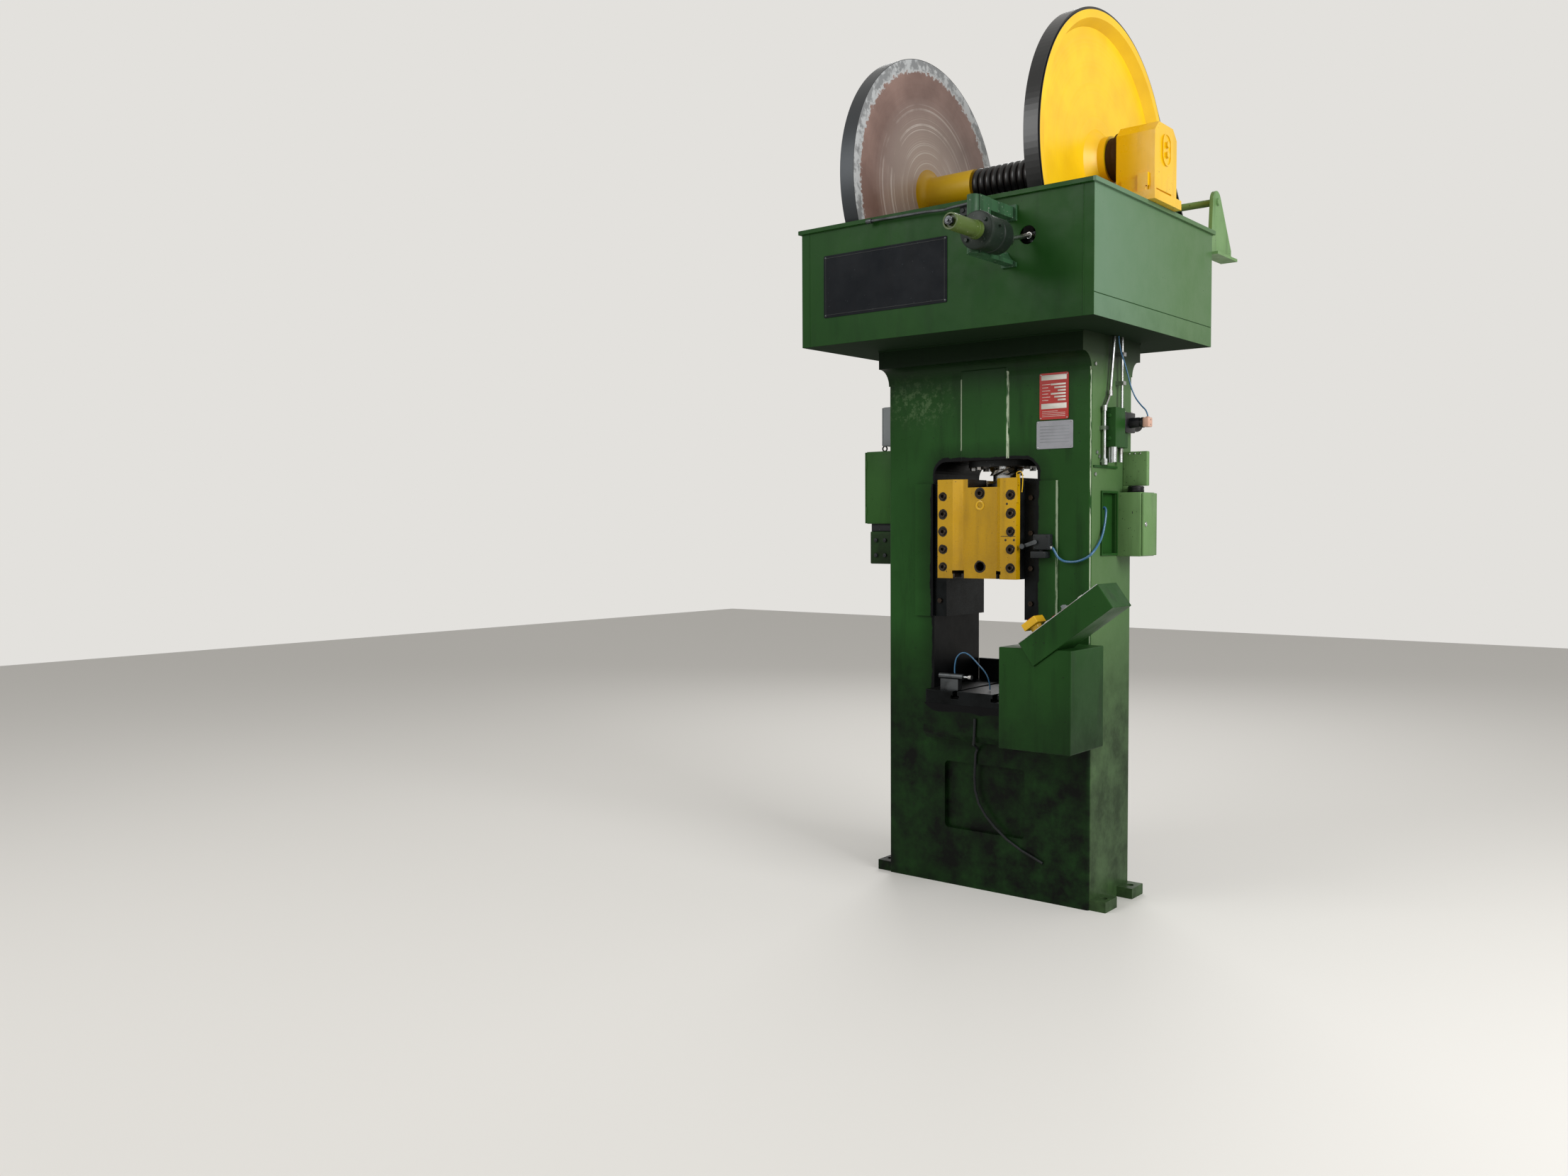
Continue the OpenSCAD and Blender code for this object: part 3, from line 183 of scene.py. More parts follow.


# Brushed enamel over cast iron and plate: soft gloss, a wavy skin, oil gathering low down, and where asked a
# paler painted-light side, painted shade under the head and painted highlights on edges
def castEnamel(name, look):
    look = enamelBase | look
    plain, faded, grimeAndShade, chip = look["colours"]
    material, add, shader = newMaterial(name, Coat_Weight=look["coat"], Coat_Roughness=0.25,
                                        Specular_IOR_Level=look["gloss"])
    at = add("TexCoord").outputs["Object"]
    tall = add("Mapping", at, Scale=(1, 1, 0.12))
    fade = add("MapRange", add("TexNoise", at, perSize(420), 4.0), 0.38, 0.66)
    colour = add("Mix RGBA", fade, plain, faded)
    runs = add("MapRange", add("TexNoise", tall, perSize(60), 5.0, 0.6), 0.52, 0.75, 0, look["runs"])
    colour = add("Mix RGBA", runs, colour, grimeAndShade)
    spot = add("SeparateXYZ", at).outputs
    x, y, z = spot
    low = add("MapRange", z, *look["grimeHeights"])
    mottled = add("TexNoise", at, perSize(130), 6.0, 0.65)
    uneven = add("MapRange", mottled, 0.3, 0.62, *look["grimeShares"])
    dirt = add("Math MULTIPLY", low, uneven)
    colour = add("Mix RGBA", dirt, colour, grimeAndShade)
    rare = look["chips"]
    flecks = add("MapRange", add("TexNoise", at, perSize(9), 2.0), rare, rare + 0.02)
    colour = add("Mix RGBA", flecks, colour, chip)
    if "side" in look:        # the right side is painted paler as painted light from the right, and deeper towards the back
        limit, litFront, litBack = look["side"]
        away = add("Math MAXIMUM", add("MapRange", y, -0.5, 0.3), runs)
        litTone = add("Mix RGBA", away, litFront, litBack)
        litTone = add("Mix RGBA", add("Math MULTIPLY", dirt, 0.75), litTone, grimeAndShade)
        colour = add("Mix RGBA", add("Math GREATER_THAN", x, limit), colour, litTone)
    if "scuff" in look:       # pale rubbed patch, broken up finely
        middle, wide, paint = look["scuff"]
        flat = add("VectorMath SUBTRACT", at, middle)
        flat = add("VectorMath MULTIPLY", flat, (1, 0, 1.8))
        near = add("MapRange", add("VectorMath LENGTH", flat), wide, wide * 0.3)
        rubbed = add("MapRange", add("TexNoise", at, perSize(26), 6.0, 0.75), 0.5, 0.6, 0, 0.7)
        rubbed = add("Math MULTIPLY", near, rubbed)
        rubbed = add("Math MULTIPLY", add("Math LESS_THAN", y, look["frontY"]), rubbed)
        colour = add("Mix RGBA", rubbed, colour, paint)
    rough = add("MapRange", mottled, 0.3, 0.7, look["roughness"] - 0.08, look["roughness"] + 0.16)
    if "soot" in look:        # painted shade under the head, full at the first height and gone by the second, and made matt there
        thick, gone, most, matt = look["soot"]
        shadedUnder = add("Math MULTIPLY", add("MapRange", z, gone, thick), most)
        colour = add("Mix RGBA", shadedUnder, colour, grimeAndShade)
        rough = add("Math MAXIMUM", rough, add("Math MULTIPLY", shadedUnder, matt))
    if "window" in look:
        colour = windowPaint(add, spot, mottled, colour, look)
    # painted highlights and rubbed paint along the edges
    if "worn" in look:
        colour = wornHighlightLines(add, spot, tall, colour, look)
    if "pocket" in look:
        colour = ramWearAndShade(add, spot, mottled, colour, look["pocket"])
    skin = add("TexNoise", at, perSize(look["wave"]), 3.0)
    wavy = add("Bump", Height=skin, Strength=0.25, Distance=0.0025)
    fine = add("TexNoise", at, perSize(3.5), 2.0)
    peel = add("Bump", Height=fine, Strength=look["peel"], Distance=0.0004, Normal=wavy)
    fill(shader, Base_Color=colour, Roughness=rough, Normal=peel)
    return material


# Turned, ground or worn steel and bronze: fine tool lines under a thin oil film
def workedMetal(name, look):
    look = steelBase | look
    material, add, shader = newMaterial(name, Metallic=1.0)
    at = add("TexCoord").outputs["Object"]
    lines = add("TexNoise", add("Mapping", at, Scale=look["grain"]), perSize(look["lineSize"]), 3.0)
    stains = add("MapRange", add("TexNoise", at, perSize(look["stainSize"]), 5.0, 0.6), 0.4, 0.7)
    tint = add("Mix RGBA", stains, *look["colours"])
    rough = add("MapRange", lines, 0.3, 0.7, look["roughness"] - 0.1, look["roughness"] + 0.12)
    relief = add("Bump", Height=lines, Strength=look["relief"], Distance=0.0003)
    fill(shader, Base_Color=tint, Roughness=rough, Normal=relief)
    return material


# Moulded rubber, nylon and phenolic: a fine mould grain and a little grey dust
def mouldedPlastic(name, look):
    look = plasticBase | look
    material, add, shader = newMaterial(name, Roughness=look["roughness"], IOR=1.49,
                                        Specular_IOR_Level=look["gloss"])
    at = add("TexCoord").outputs["Object"]
    dusty = add("MapRange", add("TexNoise", at, perSize(45), 5.0, 0.6), 0.45, 0.75, 0, look["dust"])
    tint = add("Mix RGBA", dusty, *look["colours"])
    grain = add("TexNoise", at, perSize(look["grain"]), 2.0)
    relief = add("Bump", Height=grain, Strength=0.15, Distance=0.0003)
    fill(shader, Base_Color=tint, Normal=relief)
    return material


discLook = {
    "shaftHeight": 3.118,
    "rimInner": 0.548,
    "rust": "#93766c",
    "rustDark": "#7b5f56",
    "burnishAndSheen": "#e4d2c8",   # burnished near the hub, and lighter there as a painted sheen
    "paintedGlint": "#fdf6f0",
    "bareSteel": "#85888a",
    "flake": "#c6cacc",
    "edgeSteel": "#3a3d40",
    # brighter than the housings' yellow as painted light on the shaded hubs, and a little more lemon
    "yellow": "#edc100",
    "yellowDeep": "#e0b000",
    "innerFace": 0.4048,     # the working face is nearer the middle than this
    "hubPaint": 0.118,
    "edgeBare": 0.5975,
}


# Friction disc: yellow enamel on the casting, and a working face burnished in rings down to rusty iron,
# lighter near the hub as a painted sheen and with painted glints along the rings
def discFinish(name, look):
    material, add, shader = newMaterial(name, Coat_Weight=0.1, Coat_Roughness=0.3)
    at = add("TexCoord").outputs["Object"]
    fromShaft = add("Mapping", at, Location=(0, 0, -look["shaftHeight"]))
    x, y, z = add("SeparateXYZ", fromShaft).outputs
    radius = add("VectorMath LENGTH", add("CombineXYZ", y, z))
    rings = add("TexNoise", add("CombineXYZ", radius), perSize(17), 5.0, 0.75)
    cloudy = add("TexNoise", at, perSize(220), 5.0, 0.55)
    ragged = add("TexNoise", at, perSize(20), 5.0, 0.65)
    rust = add("Mix RGBA", add("MapRange", cloudy, 0.38, 0.62), look["rustDark"], look["rust"])
    # lighter towards the hub: burnished face and painted sheen
    rust = add("Mix RGBA", add("MapRange", radius, 0.44, 0.2, 0, 0.8), rust, look["burnishAndSheen"])
    # painted glints: bright arcs on the rings, fading out away from the hub
    inward = add("MapRange", radius, 0.46, 0.3)
    glint = add("Math MULTIPLY", add("MapRange", rings, 0.51, 0.6), inward)
    glint = add("Math MULTIPLY", glint, add("MapRange", cloudy, 0.36, 0.55))
    face = add("Mix RGBA", glint, rust, look["paintedGlint"])
    edge = add("Math ADD", radius, add("MapRange", ragged, 0.3, 0.7, -0.016, 0.016))
    rim = look["rimInner"]
    rimMask = add("MapRange", edge, rim - 0.006, rim + 0.002)
    flaked = add("MapRange", edge, rim + 0.016, rim + 0.002)
    specks = add("MapRange", add("TexNoise", at, perSize(62), 5.0, 0.6), 0.46, 0.54, 0, 0.85)
    ring = add("Mix RGBA", add("Math MAXIMUM", flaked, specks), look["bareSteel"], look["flake"])
    worn = add("Mix RGBA", rimMask, face, ring)
    inner = add("Math LESS_THAN", add("Math ABSOLUTE", x), look["innerFace"])
    onFace = add("Math MULTIPLY", inner, add("Math GREATER_THAN", radius, look["hubPaint"]))
    outerRim = add("Math GREATER_THAN", radius, look["edgeBare"])
    bare = add("Math MAXIMUM", onFace, outerRim)
    paint = add("Mix RGBA", add("MapRange", cloudy, 0.4, 0.7), look["yellow"], look["yellowDeep"])
    edged = add("Mix RGBA", outerRim, worn, look["edgeSteel"])
    colour = add("Mix RGBA", bare, paint, edged)
    metal = add("Math MULTIPLY", bare, add("MapRange", outerRim, 0, 1, 0.1, 0.8))
    rough = add("MapRange", rings, 0.35, 0.65, 0.36, 0.5)
    grooves = add("Math MULTIPLY", rings, onFace)
    scored = add("Bump", Height=grooves, Strength=0.2, Distance=0.0004)
    fill(shader, Base_Color=colour, Metallic=metal, Roughness=rough, Normal=scored)
    return material


# Colours: paint, faded patches, grime, chips. Grime starts at the first height in metres and is full at the
# second, between its two shares; chips is how rare the flecks are; wave is the size of the skin's waves.
# Window: half width, bottom, top, corner, band. Worn line (rubbed paint and painted highlight): place, half
# width, bottom, top, amount
# The grime colour also paints the shade under the head
enamelBase = {"runs": 0.4, "roughness": 0.36, "coat": 0.0, "gloss": 0.1, "grimeHeights": (1.2, 0.4),
              "grimeShares": (0.2, 0.8), "wave": 70, "peel": 0.25}
enamels = {
    "frame": {"colours": ("#1c4117", "#234b1f", "#070b07", "#191c17"), "grimeHeights": (1.2, 0.75),
              "grimeShares": (0.4, 1.0), "roughness": 0.34, "chips": 0.735,
              "window": (0.256, 0.8, 1.885, 0.062, 0.014), "blackPaint": "#08090b", "bandEdge": 0.004,
              # side: the frame's right face is painted paler, as painted light from the right
              "oilReach": 0.07, "oilMost": 0.4, "side": (0.4985, "#567447", "#426038"),
              # painted shade on the frame's top, under the casing's overhang
              "soot": (2.31, 2.17, 0.85, 0.5),
              "worn": [(-0.113, 0.0085, 1.93, 2.24, 1.0), (0.116, 0.005, 1.89, 2.26, 1.0),
                       (0.349, 0.0034, 1.2, 1.79, 0.6), (0.4955, 0.0036, 1.1, 2.25, 1.0)],
              "wornColour": "#a9b59c", "scuff": ((-0.34, 0, 2.16), 0.24, "#56704b"), "frontY": -0.19},
    "desk": {"colours": ("#1d4119", "#244b1f", "#0a0f09", "#191c17"), "grimeHeights": (1.12, 0.6),
             "grimeShares": (0.45, 0.8), "chips": 0.735},
    "cabinet": {"colours": ("#25491c", "#2e5425", "#141d10", "#191c17"), "grimeHeights": (1.63, 1.56),
                "grimeShares": (0.6, 1.0), "runs": 0.35, "roughness": 0.42, "gloss": 0.12, "chips": 0.73},
    # the casing's underside is painted near black as painted shade
    "casing": {"colours": ("#193f16", "#204719", "#10210f", "#101a12"), "grimeHeights": (2.5, 2.2),
               "grimeShares": (0.0, 0.6), "runs": 0.25, "roughness": 0.34, "chips": 0.75, "wave": 160,
               # side: the casing's right face is painted paler, as painted light from the right
               "peel": 0.15, "side": (0.6945, "#5c785f", "#4f6d47"), "soot": (2.3903, 2.3906, 0.95, 0.95)},
    "brake": {"colours": ("#0d1611", "#132017", "#050706", "#434a41"), "runs": 0.5, "gloss": 0.25,
              "chips": 0.7, "wave": 50, "peel": 0.3},
    "olive": {"colours": ("#38491b", "#495b28", "#1b2210", "#7b8064"), "runs": 0.6, "roughness": 0.34,
              "gloss": 0.3, "chips": 0.7, "wave": 30, "peel": 0.3},
    "arm": {"colours": ("#23422a", "#33553a", "#0d130e", "#7b8478"), "runs": 0.8, "roughness": 0.42,
            "gloss": 0.2, "chips": 0.68, "wave": 50, "peel": 0.3},
    "pale": {"colours": ("#5d7f4c", "#6b8d5a", "#252e1e", "#272a24"), "roughness": 0.42, "gloss": 0.2,
             "chips": 0.71, "wave": 60},
    "yellow": {"colours": ("#e3b400", "#d6a602", "#6b5110", "#4a3512"), "grimeHeights": (1.6, 1.3),
               "grimeShares": (0.0, 0.35), "runs": 0.25, "roughness": 0.25, "coat": 0.2, "gloss": 0.4,
               "chips": 0.745, "wave": 40, "peel": 0.2},
    # ram: the housings' yellow paint, painted darker as painted shade under the casing
    "ram": {"colours": ("#c29602", "#b18702", "#4d390b", "#3a2a10"), "grimeHeights": (1.6, 1.3),
            "grimeShares": (0.0, 0.4), "runs": 0.35, "roughness": 0.25, "coat": 0.15, "gloss": 0.3,
            "chips": 0.722, "wave": 34,
            "pocket": {"x": 0.167, "z": 1.423, "pitch": 0.077, "radius": 0.0212, "oil": "#1a120a",
                       "holes": [(1.426, 0.0262), (1.742, 0.0235)], "fade": 0.0015, "slotX": 0.1,
                       "slotHalf": 0.0206, "slotTop": 1.4085, "front": -0.2652, "deep": -0.15,
                       "notchX": -0.06, "notchZ": 1.768, "notchRim": 0.005, "wallHalf": 0.001}},
    "dark": {"colours": ("#15181a", "#1e2223", "#090b0b", "#4d4f50"), "grimeHeights": (0.6, 0.2),
             "runs": 0.3, "roughness": 0.45, "gloss": 0.25, "chips": 0.72, "wave": 50, "peel": 0.3},
    "plate": {"colours": ("#0d1015", "#12161b", "#090a0c", "#3a3e44"), "grimeHeights": (0.6, 0.2),
              "grimeShares": (0.0, 0.1), "roughness": 0.5, "chips": 0.745, "wave": 120, "peel": 0.1},
}
steelBase = {"roughness": 0.5, "grain": (1, 1, 1), "lineSize": 3.0}
steels = {
    "bright": {"colours": ("#b9bcbe", "#8e8a84"), "roughness": 0.28, "grain": (1, 1, 6), "lineSize": 2.5,
               "stainSize": 60, "relief": 0.15},
    "oiled": {"colours": ("#56595b", "#2f3132"), "roughness": 0.38, "grain": (1, 6, 1), "stainSize": 90,
              "relief": 0.2},
    "black": {"colours": ("#1f2122", "#121313"), "roughness": 0.42, "lineSize": 4.0, "stainSize": 120,
              "relief": 0.25},
    "browned": {"colours": ("#3c342e", "#261f1a"), "stainSize": 20, "relief": 0.3},
    "bronze": {"colours": ("#b5884a", "#7c5a30"), "roughness": 0.3, "grain": (1, 1, 6), "stainSize": 70,
               "relief": 0.15},
    "iron": {"colours": ("#4a4c4e", "#2c2d2f"), "lineSize": 5.0, "stainSize": 110, "relief": 0.35},
}
plasticBase = {"grain": 3.0, "gloss": 0.4, "dust": 0.2}
plastics = {
    "rubber": {"colours": ("#08090a", "#1f1e1d"), "roughness": 0.3, "grain": 2.5, "gloss": 0.5},
    "black": {"colours": ("#0d0e11", "#2a2826"), "dust": 0.25, "roughness": 0.38, "grain": 2.0,
              "gloss": 0.3},
    "lining": {"colours": ("#3f2b20", "#221913"), "dust": 0.4, "roughness": 0.75, "gloss": 0.2},
    "blue": {"colours": ("#2a5f84", "#6f8494"), "roughness": 0.25, "grain": 4.0, "gloss": 0.6},
    "yellow": {"colours": ("#e6b41a", "#9c8040"), "dust": 0.15, "roughness": 0.3, "gloss": 0.45},
    "red": {"colours": ("#a8221b", "#7d4a40"), "dust": 0.15, "roughness": 0.3},
    "white": {"colours": ("#d6d3ca", "#9b978a"), "dust": 0.25, "roughness": 0.35},
    "plug": {"colours": ("#c9a08c", "#5f4a40"), "dust": 0.25, "roughness": 0.4},
    "notice": {"colours": ("#93949a", "#6f7074"), "dust": 0.3, "roughness": 0.4, "gloss": 0.3},
    "grey": {"colours": ("#7f8487", "#63625c"), "roughness": 0.35},
}
families = (("Enamel", castEnamel, enamels), ("Steel", workedMetal, steels),
            ("Plastic", mouldedPlastic, plastics))
finish = {key + family: make(key + family, look) for family, make, looks in families
          for key, look in looks.items()}
finish["disc"] = discFinish("burnishedDisc", discLook)
print("materials made:", len(finish))

wears = {
    "frameEnamel": "frame",
    "deskEnamel": "pedestal control_box side_cover valve_block",
    "casingEnamel": "head_casing",
    "brakeEnamel": "brake_cylinder",
    "armEnamel": "brake_arms",
    "paleEnamel": "motor motor_bracket side_box",
    "yellowEnamel": "bearing_housings bearing_caps",
    "ramEnamel": "ram switch_cam",
    "plateEnamel": "name_plate",
    "darkEnamel": "nut_retainer lever_bracket limit_switch floor_conduit",
    "brownedSteel": "gib_bolts",
    "brightSteel": "screw drive_shaft bearing_seals nut_bolts brake_rod brake_post air_pipes "
                   "ejector_pin stop_rod",
    "blackSteel": "bolster_plate rear_sill gibs",
    "oiledSteel": "ram_liners ram_bolts screw_cap brake_lever motor_pulley hand_lever stop_cylinder "
                  "switch_roller",
    "ironSteel": "flywheel",
    "bronzeSteel": "lead_nut",
    "disc": "left_disc right_disc",
    "rubberPlastic": "bellows drive_belt",
    "blackPlastic": "solenoid_valve button_bezels",
    "liningPlastic": "friction_band thrust_rings",
    "bluePlastic": "switch_hose",
    "yellowPlastic": "stop_station",
    "redPlastic": "stop_button halt_button rating_plate",
    "whitePlastic": "start_button inch_button",
    "noticePlastic": "notice_plate",
    "greyPlastic": "mode_knob",
}
for key, names in wears.items():
    for name in names.split():
        nodes[name].data.materials.clear()
        nodes[name].data.materials.append(finish[key])

# Cast and folded edges catch a thin line of light; widths in millimetres
rounded = {
    5: "frame pedestal",
    4: "bearing_housings",
    3: "control_box side_box brake_arms solenoid_valve stop_station",
    2.5: "ram bolster_plate",
    2: "head_casing bearing_caps valve_block brake_cylinder motor_bracket",
}
for width, names in rounded.items():
    for name in names.split():
        weld = nodes[name].modifiers.new("weld", "WELD")
        weld.merge_threshold = 0.02 * mm
        edge = nodes[name].modifiers.new("edge", "BEVEL")
        edge.width = width * mm
        edge.segments = 2
        edge.limit_method = "ANGLE"
        edge.angle_limit = math.radians(35)
        edge.harden_normals = True
print("finishes given to the frame")


# Curve through the given points: each span is the cubic whose slope at a point runs between its neighbours
def smoothPath(points, steps=8):
    p = np.asarray(points, float)
    q = np.vstack([2 * p[0] - p[1], p, 2 * p[-1] - p[-2]])
    t = np.linspace(0, 1, steps, endpoint=False)[:, None, None]
    a, b, c, d = q[:-3], q[1:-2], q[2:-1], q[3:]
    curve = 0.5 * (2 * b + (c - a) * t + (2 * a - 5 * b + 4 * c - d) * t**2 + (3 * b - a - 3 * c + d) * t**3)
    return np.vstack([curve.transpose(1, 0, 2).reshape(-1, 3), p[-1:]])


# Closes a tube of rings by running its first and last ring in to their middles
def capped(grid):
    first = np.broadcast_to(grid[:1].mean(axis=1, keepdims=True), grid[:1].shape)
    last = np.broadcast_to(grid[-1:].mean(axis=1, keepdims=True), grid[-1:].shape)
    return np.concatenate([first, grid, last])


# Round tube: at each point of the path a circle stands square to the path; radius may change along it
def tubeGrid(path, radius, sides=14, across=toTop):
    path = np.asarray(path, float)
    ahead = np.gradient(path, axis=0)
    ahead /= np.linalg.norm(ahead, axis=1)[:, None]
    side = np.cross(ahead, across)
    side /= np.linalg.norm(side, axis=1)[:, None]
    over = np.cross(side, ahead)
    turn = np.linspace(0, 2 * np.pi, sides, endpoint=False)[None, :, None]
    reach = np.broadcast_to(np.asarray(radius, float), len(path))[:, None, None]
    return capped(path[:, None] + reach * (np.cos(turn) * side[:, None] + np.sin(turn) * over[:, None]))


# Two directions square to an axis
def crossAxes(axis):
    axis = np.asarray(axis, float) / np.linalg.norm(axis)
    aside = np.cross(axis, (0.0, 0.0, 1.0) if abs(axis[2]) < 0.9 else (1.0, 0.0, 0.0))
    aside /= np.linalg.norm(aside)
    return axis, aside, np.cross(axis, aside)


# Turned shape: a profile of (radius, height) goes round an axis; a waist of n flats pulls its circle in
def turnedGrid(profile, origin, axis, sides=32, flats=None, flatRows=()):
    profile = np.asarray(profile, float)
    axis, aside, other = crossAxes(axis)
    turn = np.linspace(0, 2 * np.pi, sides, endpoint=False)
    shape = np.ones((len(profile), sides))
    if flats:
        sector = (turn + np.pi / flats) % (2 * np.pi / flats) - np.pi / flats
        shape[list(flatRows)] = np.cos(np.pi / flats) / np.cos(sector)
    reach = (profile[:, :1] * shape)[:, :, None]
    ring = np.cos(turn)[None, :, None] * aside + np.sin(turn)[None, :, None] * other
    return np.asarray(origin, float) + reach * ring + profile[:, 1][:, None, None] * axis


# Soft-edged block: a sphere of the edge radius pulled apart along three axes to the block's size
def blockGrid(low, high, edge, steps=3):
    low, high = np.asarray(low, float), np.asarray(high, float)
    quarter = np.linspace(0, np.pi / 2, steps + 1)
    lat = np.concatenate([quarter - np.pi / 2, quarter])[:, None]
    lon = np.concatenate([quarter + k * np.pi / 2 for k in range(4)])[None, :]
    away = np.stack([np.cos(lat) * np.cos(lon), np.cos(lat) * np.sin(lon), np.sin(lat) + 0 * lon], axis=-1)
    signX, signY, signZ = (np.repeat(signs, steps + 1) for signs in
                           ([1.0, -1.0, -1.0, 1.0], [1.0, 1.0, -1.0, -1.0], [-1.0, 1.0]))
    spread = np.stack(np.broadcast_arrays(signX[None, :], signY[None, :], signZ[:, None]), axis=-1)
    return capped((low + high) / 2 + spread * ((high - low) / 2 - edge) + edge * away)


# Moves a grid that was made about the origin with Z as its axis to a place, an axis and a first direction
def stoodOn(grid, origin, axis, aside):
    axis, first = crossAxes(axis)[0], np.asarray(aside, float) / np.linalg.norm(aside)
    return (np.asarray(origin, float) + grid[..., :1] * first + grid[..., 1:2] * np.cross(axis, first)
            + grid[..., 2:] * axis)


# Hexagon head with its chamfered top, as a turned shape pulled to six flats
def hexHead(origin, axis, acrossFlats, height):
    corner = acrossFlats / math.sqrt(3)
    profile = [(0, height), (corner * 0.84, height), (corner * 0.9, height * 0.96), (corner, height * 0.86),
               (corner, 0), (0, 0)]
    return turnedGrid(profile, origin, axis, 24, 6, (3, 4))


# Socket head: round with a broken edge, and a six-sided hollow
def socketHead(origin, axis, radius, height):
    hollow, deep = radius * 0.56, height * 0.42
    profile = [(0, deep), (hollow, deep), (hollow, height * 0.97), (hollow * 1.08, height),
               (radius * 0.9, height), (radius, height * 0.9), (radius, 0), (0, 0)]
    return turnedGrid(profile, origin, axis, 30, 6, (1, 2))


# Domed rivet or button head
def domeHead(origin, axis, radius, height):
    turn = np.linspace(0, np.pi / 2, 5)
    profile = [(radius * math.sin(a), height * math.cos(a)) for a in turn] + [(0, 0)]
    return turnedGrid(profile, origin, axis, 16)


# Upright hinge barrel with broken edges
def hingeBarrel(origin, length):
    profile = [(0, 0), (4.5, 0), (5, 1), (5, length - 1), (4.5, length), (0, length)]
    return turnedGrid(profile, origin, toTop, 16)


# Weld bead: a flattened tube along the seam whose thickness ripples once in each drop's length
def beadGrid(path, radius, drop, across=toTop):
    path = np.asarray(path, float)
    steps = np.linalg.norm(np.diff(path, axis=0), axis=1)
    count = max(int(steps.sum() / drop * 4), 8)
    along = np.concatenate([[0], np.cumsum(steps)])
    where = np.linspace(0, along[-1], count)
    line = np.stack([np.interp(where, along, path[:, k]) for k in range(3)], axis=1)
    ripple = radius * (1 + 0.13 * np.sin(2 * np.pi * where / drop) + 0.05 * np.sin(where * 0.37))
    return tubeGrid(line, ripple, 8, across)


# Makes one piece from closed grids in millimetres: doubles merged, normals outward, sharp edges kept
def makePiece(name, grids, material, sharp=40, body="frame", ringEnds=False, replaces=None):
    vertices, faces, start = [], [], 0
    for grid in grids:
        rows, columns = grid.shape[:2]
        i, j = np.meshgrid(np.arange(rows - 1 + ringEnds), np.arange(columns), indexing="ij")
        below, beside = (i + 1) % rows, (j + 1) % columns
        faces.append(start + np.stack([i * columns + j, i * columns + beside, below * columns + beside,
                                       below * columns + j], axis=-1).reshape(-1, 4))
        vertices.append(grid.reshape(-1, 3) * mm)
        start += rows * columns
    mesh = bpy.data.meshes.new(name)
    mesh.from_pydata(np.concatenate(vertices), [], np.concatenate(faces))
    shell = bmesh.new()
    shell.from_mesh(mesh)
    bmesh.ops.remove_doubles(shell, verts=shell.verts, dist=2e-6)
    bmesh.ops.dissolve_degenerate(shell, edges=shell.edges, dist=1e-6)
    bmesh.ops.recalc_face_normals(shell, faces=shell.faces)
    shell.to_mesh(mesh)
    shell.free()
    mesh.shade_smooth()
    mesh.set_sharp_from_angle(angle=math.radians(sharp))
    mesh.materials.append(finish[material])
    piece = bpy.data.objects.new(name, mesh)
    bpy.context.scene.collection.objects.link(piece)
    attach(piece, body)
    if replaces:
        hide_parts(replaces)
    return piece


# Hose, cable or tube that hangs free between two fittings
def freeHose(name, look):
    route = smoothPath(look["route"])
    tube = tubeGrid(route, look["diameter"] / 2, 16, look["across"])
    piece = makePiece(name, [tube], "bluePlastic", 38, replaces=look.get("replaces"))


switchHose = {
    "route": [(497.5, -74, 1675), (503, -74, 1674.6), (510, -78, 1666), (514, -87, 1644), (515, -101, 1600),
              (515, -124, 1556), (514, -154, 1524), (513, -190, 1498), (502, -209, 1478), (474, -212, 1462),
              (444, -213, 1453), (414, -213, 1451), (386, -214, 1455), (364, -218, 1470), (353, -222, 1490),
              (344, -224, 1506), (335.4, -224, 1509)],
    "diameter": 10.0, "across": toTop, "replaces": "switch_hose",
}
valveCable = {
    "route": [(530, -8, 2389), (531, -4, 2360), (534, 8, 2322), (541, 26, 2280), (550, 40, 2230),
              (560, 50, 2180), (577, 56, 2136), (600, 58, 2104), (622, 54, 2082), (632, 52, 2062),
              (633, 52, 2050.2)],
    "diameter": 6.0, "across": toRight,
}
stopHose = {
    "route": [(-126, -232, 953.5), (-127, -232, 966), (-126, -231, 992), (-120, -229, 1020),
              (-104, -226, 1040), (-82, -222, 1046), (-60, -217, 1036), (-40, -210, 1016), (-22, -202, 994),
              (-6, -193, 974), (6, -186, 954), (14, -180, 930), (18, -176, 904), (18, -175, 886)],
    "diameter": 6.0, "across": toBack,
}
for name, look in (("switchHose", switchHose), ("valveCable", valveCable), ("stopHose", stopHose)):
    freeHose(name, look)
print("hoses laid")


# Ribbed sleeve on the shaft between the discs: the rib's height follows a rounded wave along the shaft
sleeve = {"half": 143.5, "ribs": 9, "crest": 77.0, "valley": 64.5, "bore": 60.4, "height": 3118.0,
          "roundness": 0.42, "sides": 72}


def ribbedSleeve(look):
    half, bore = look["half"], look["bore"]
    x = np.linspace(-half, half, look["ribs"] * 14 + 1)
    wave = np.abs(np.sin(np.pi * look["ribs"] * (x + half) / (2 * half))) ** look["roundness"]
    outer = np.stack([look["valley"] + (look["crest"] - look["valley"]) * wave, x], axis=1)
    profile = np.vstack([outer, [(bore, half), (bore, -half)]])
    grid = turnedGrid(profile, (0, 0, look["height"]), toRight, look["sides"])
    makePiece("ribbedSleeve", [grid], "rubberPlastic", 55, "drive_shaft", True, "bellows")


ribbedSleeve(sleeve)


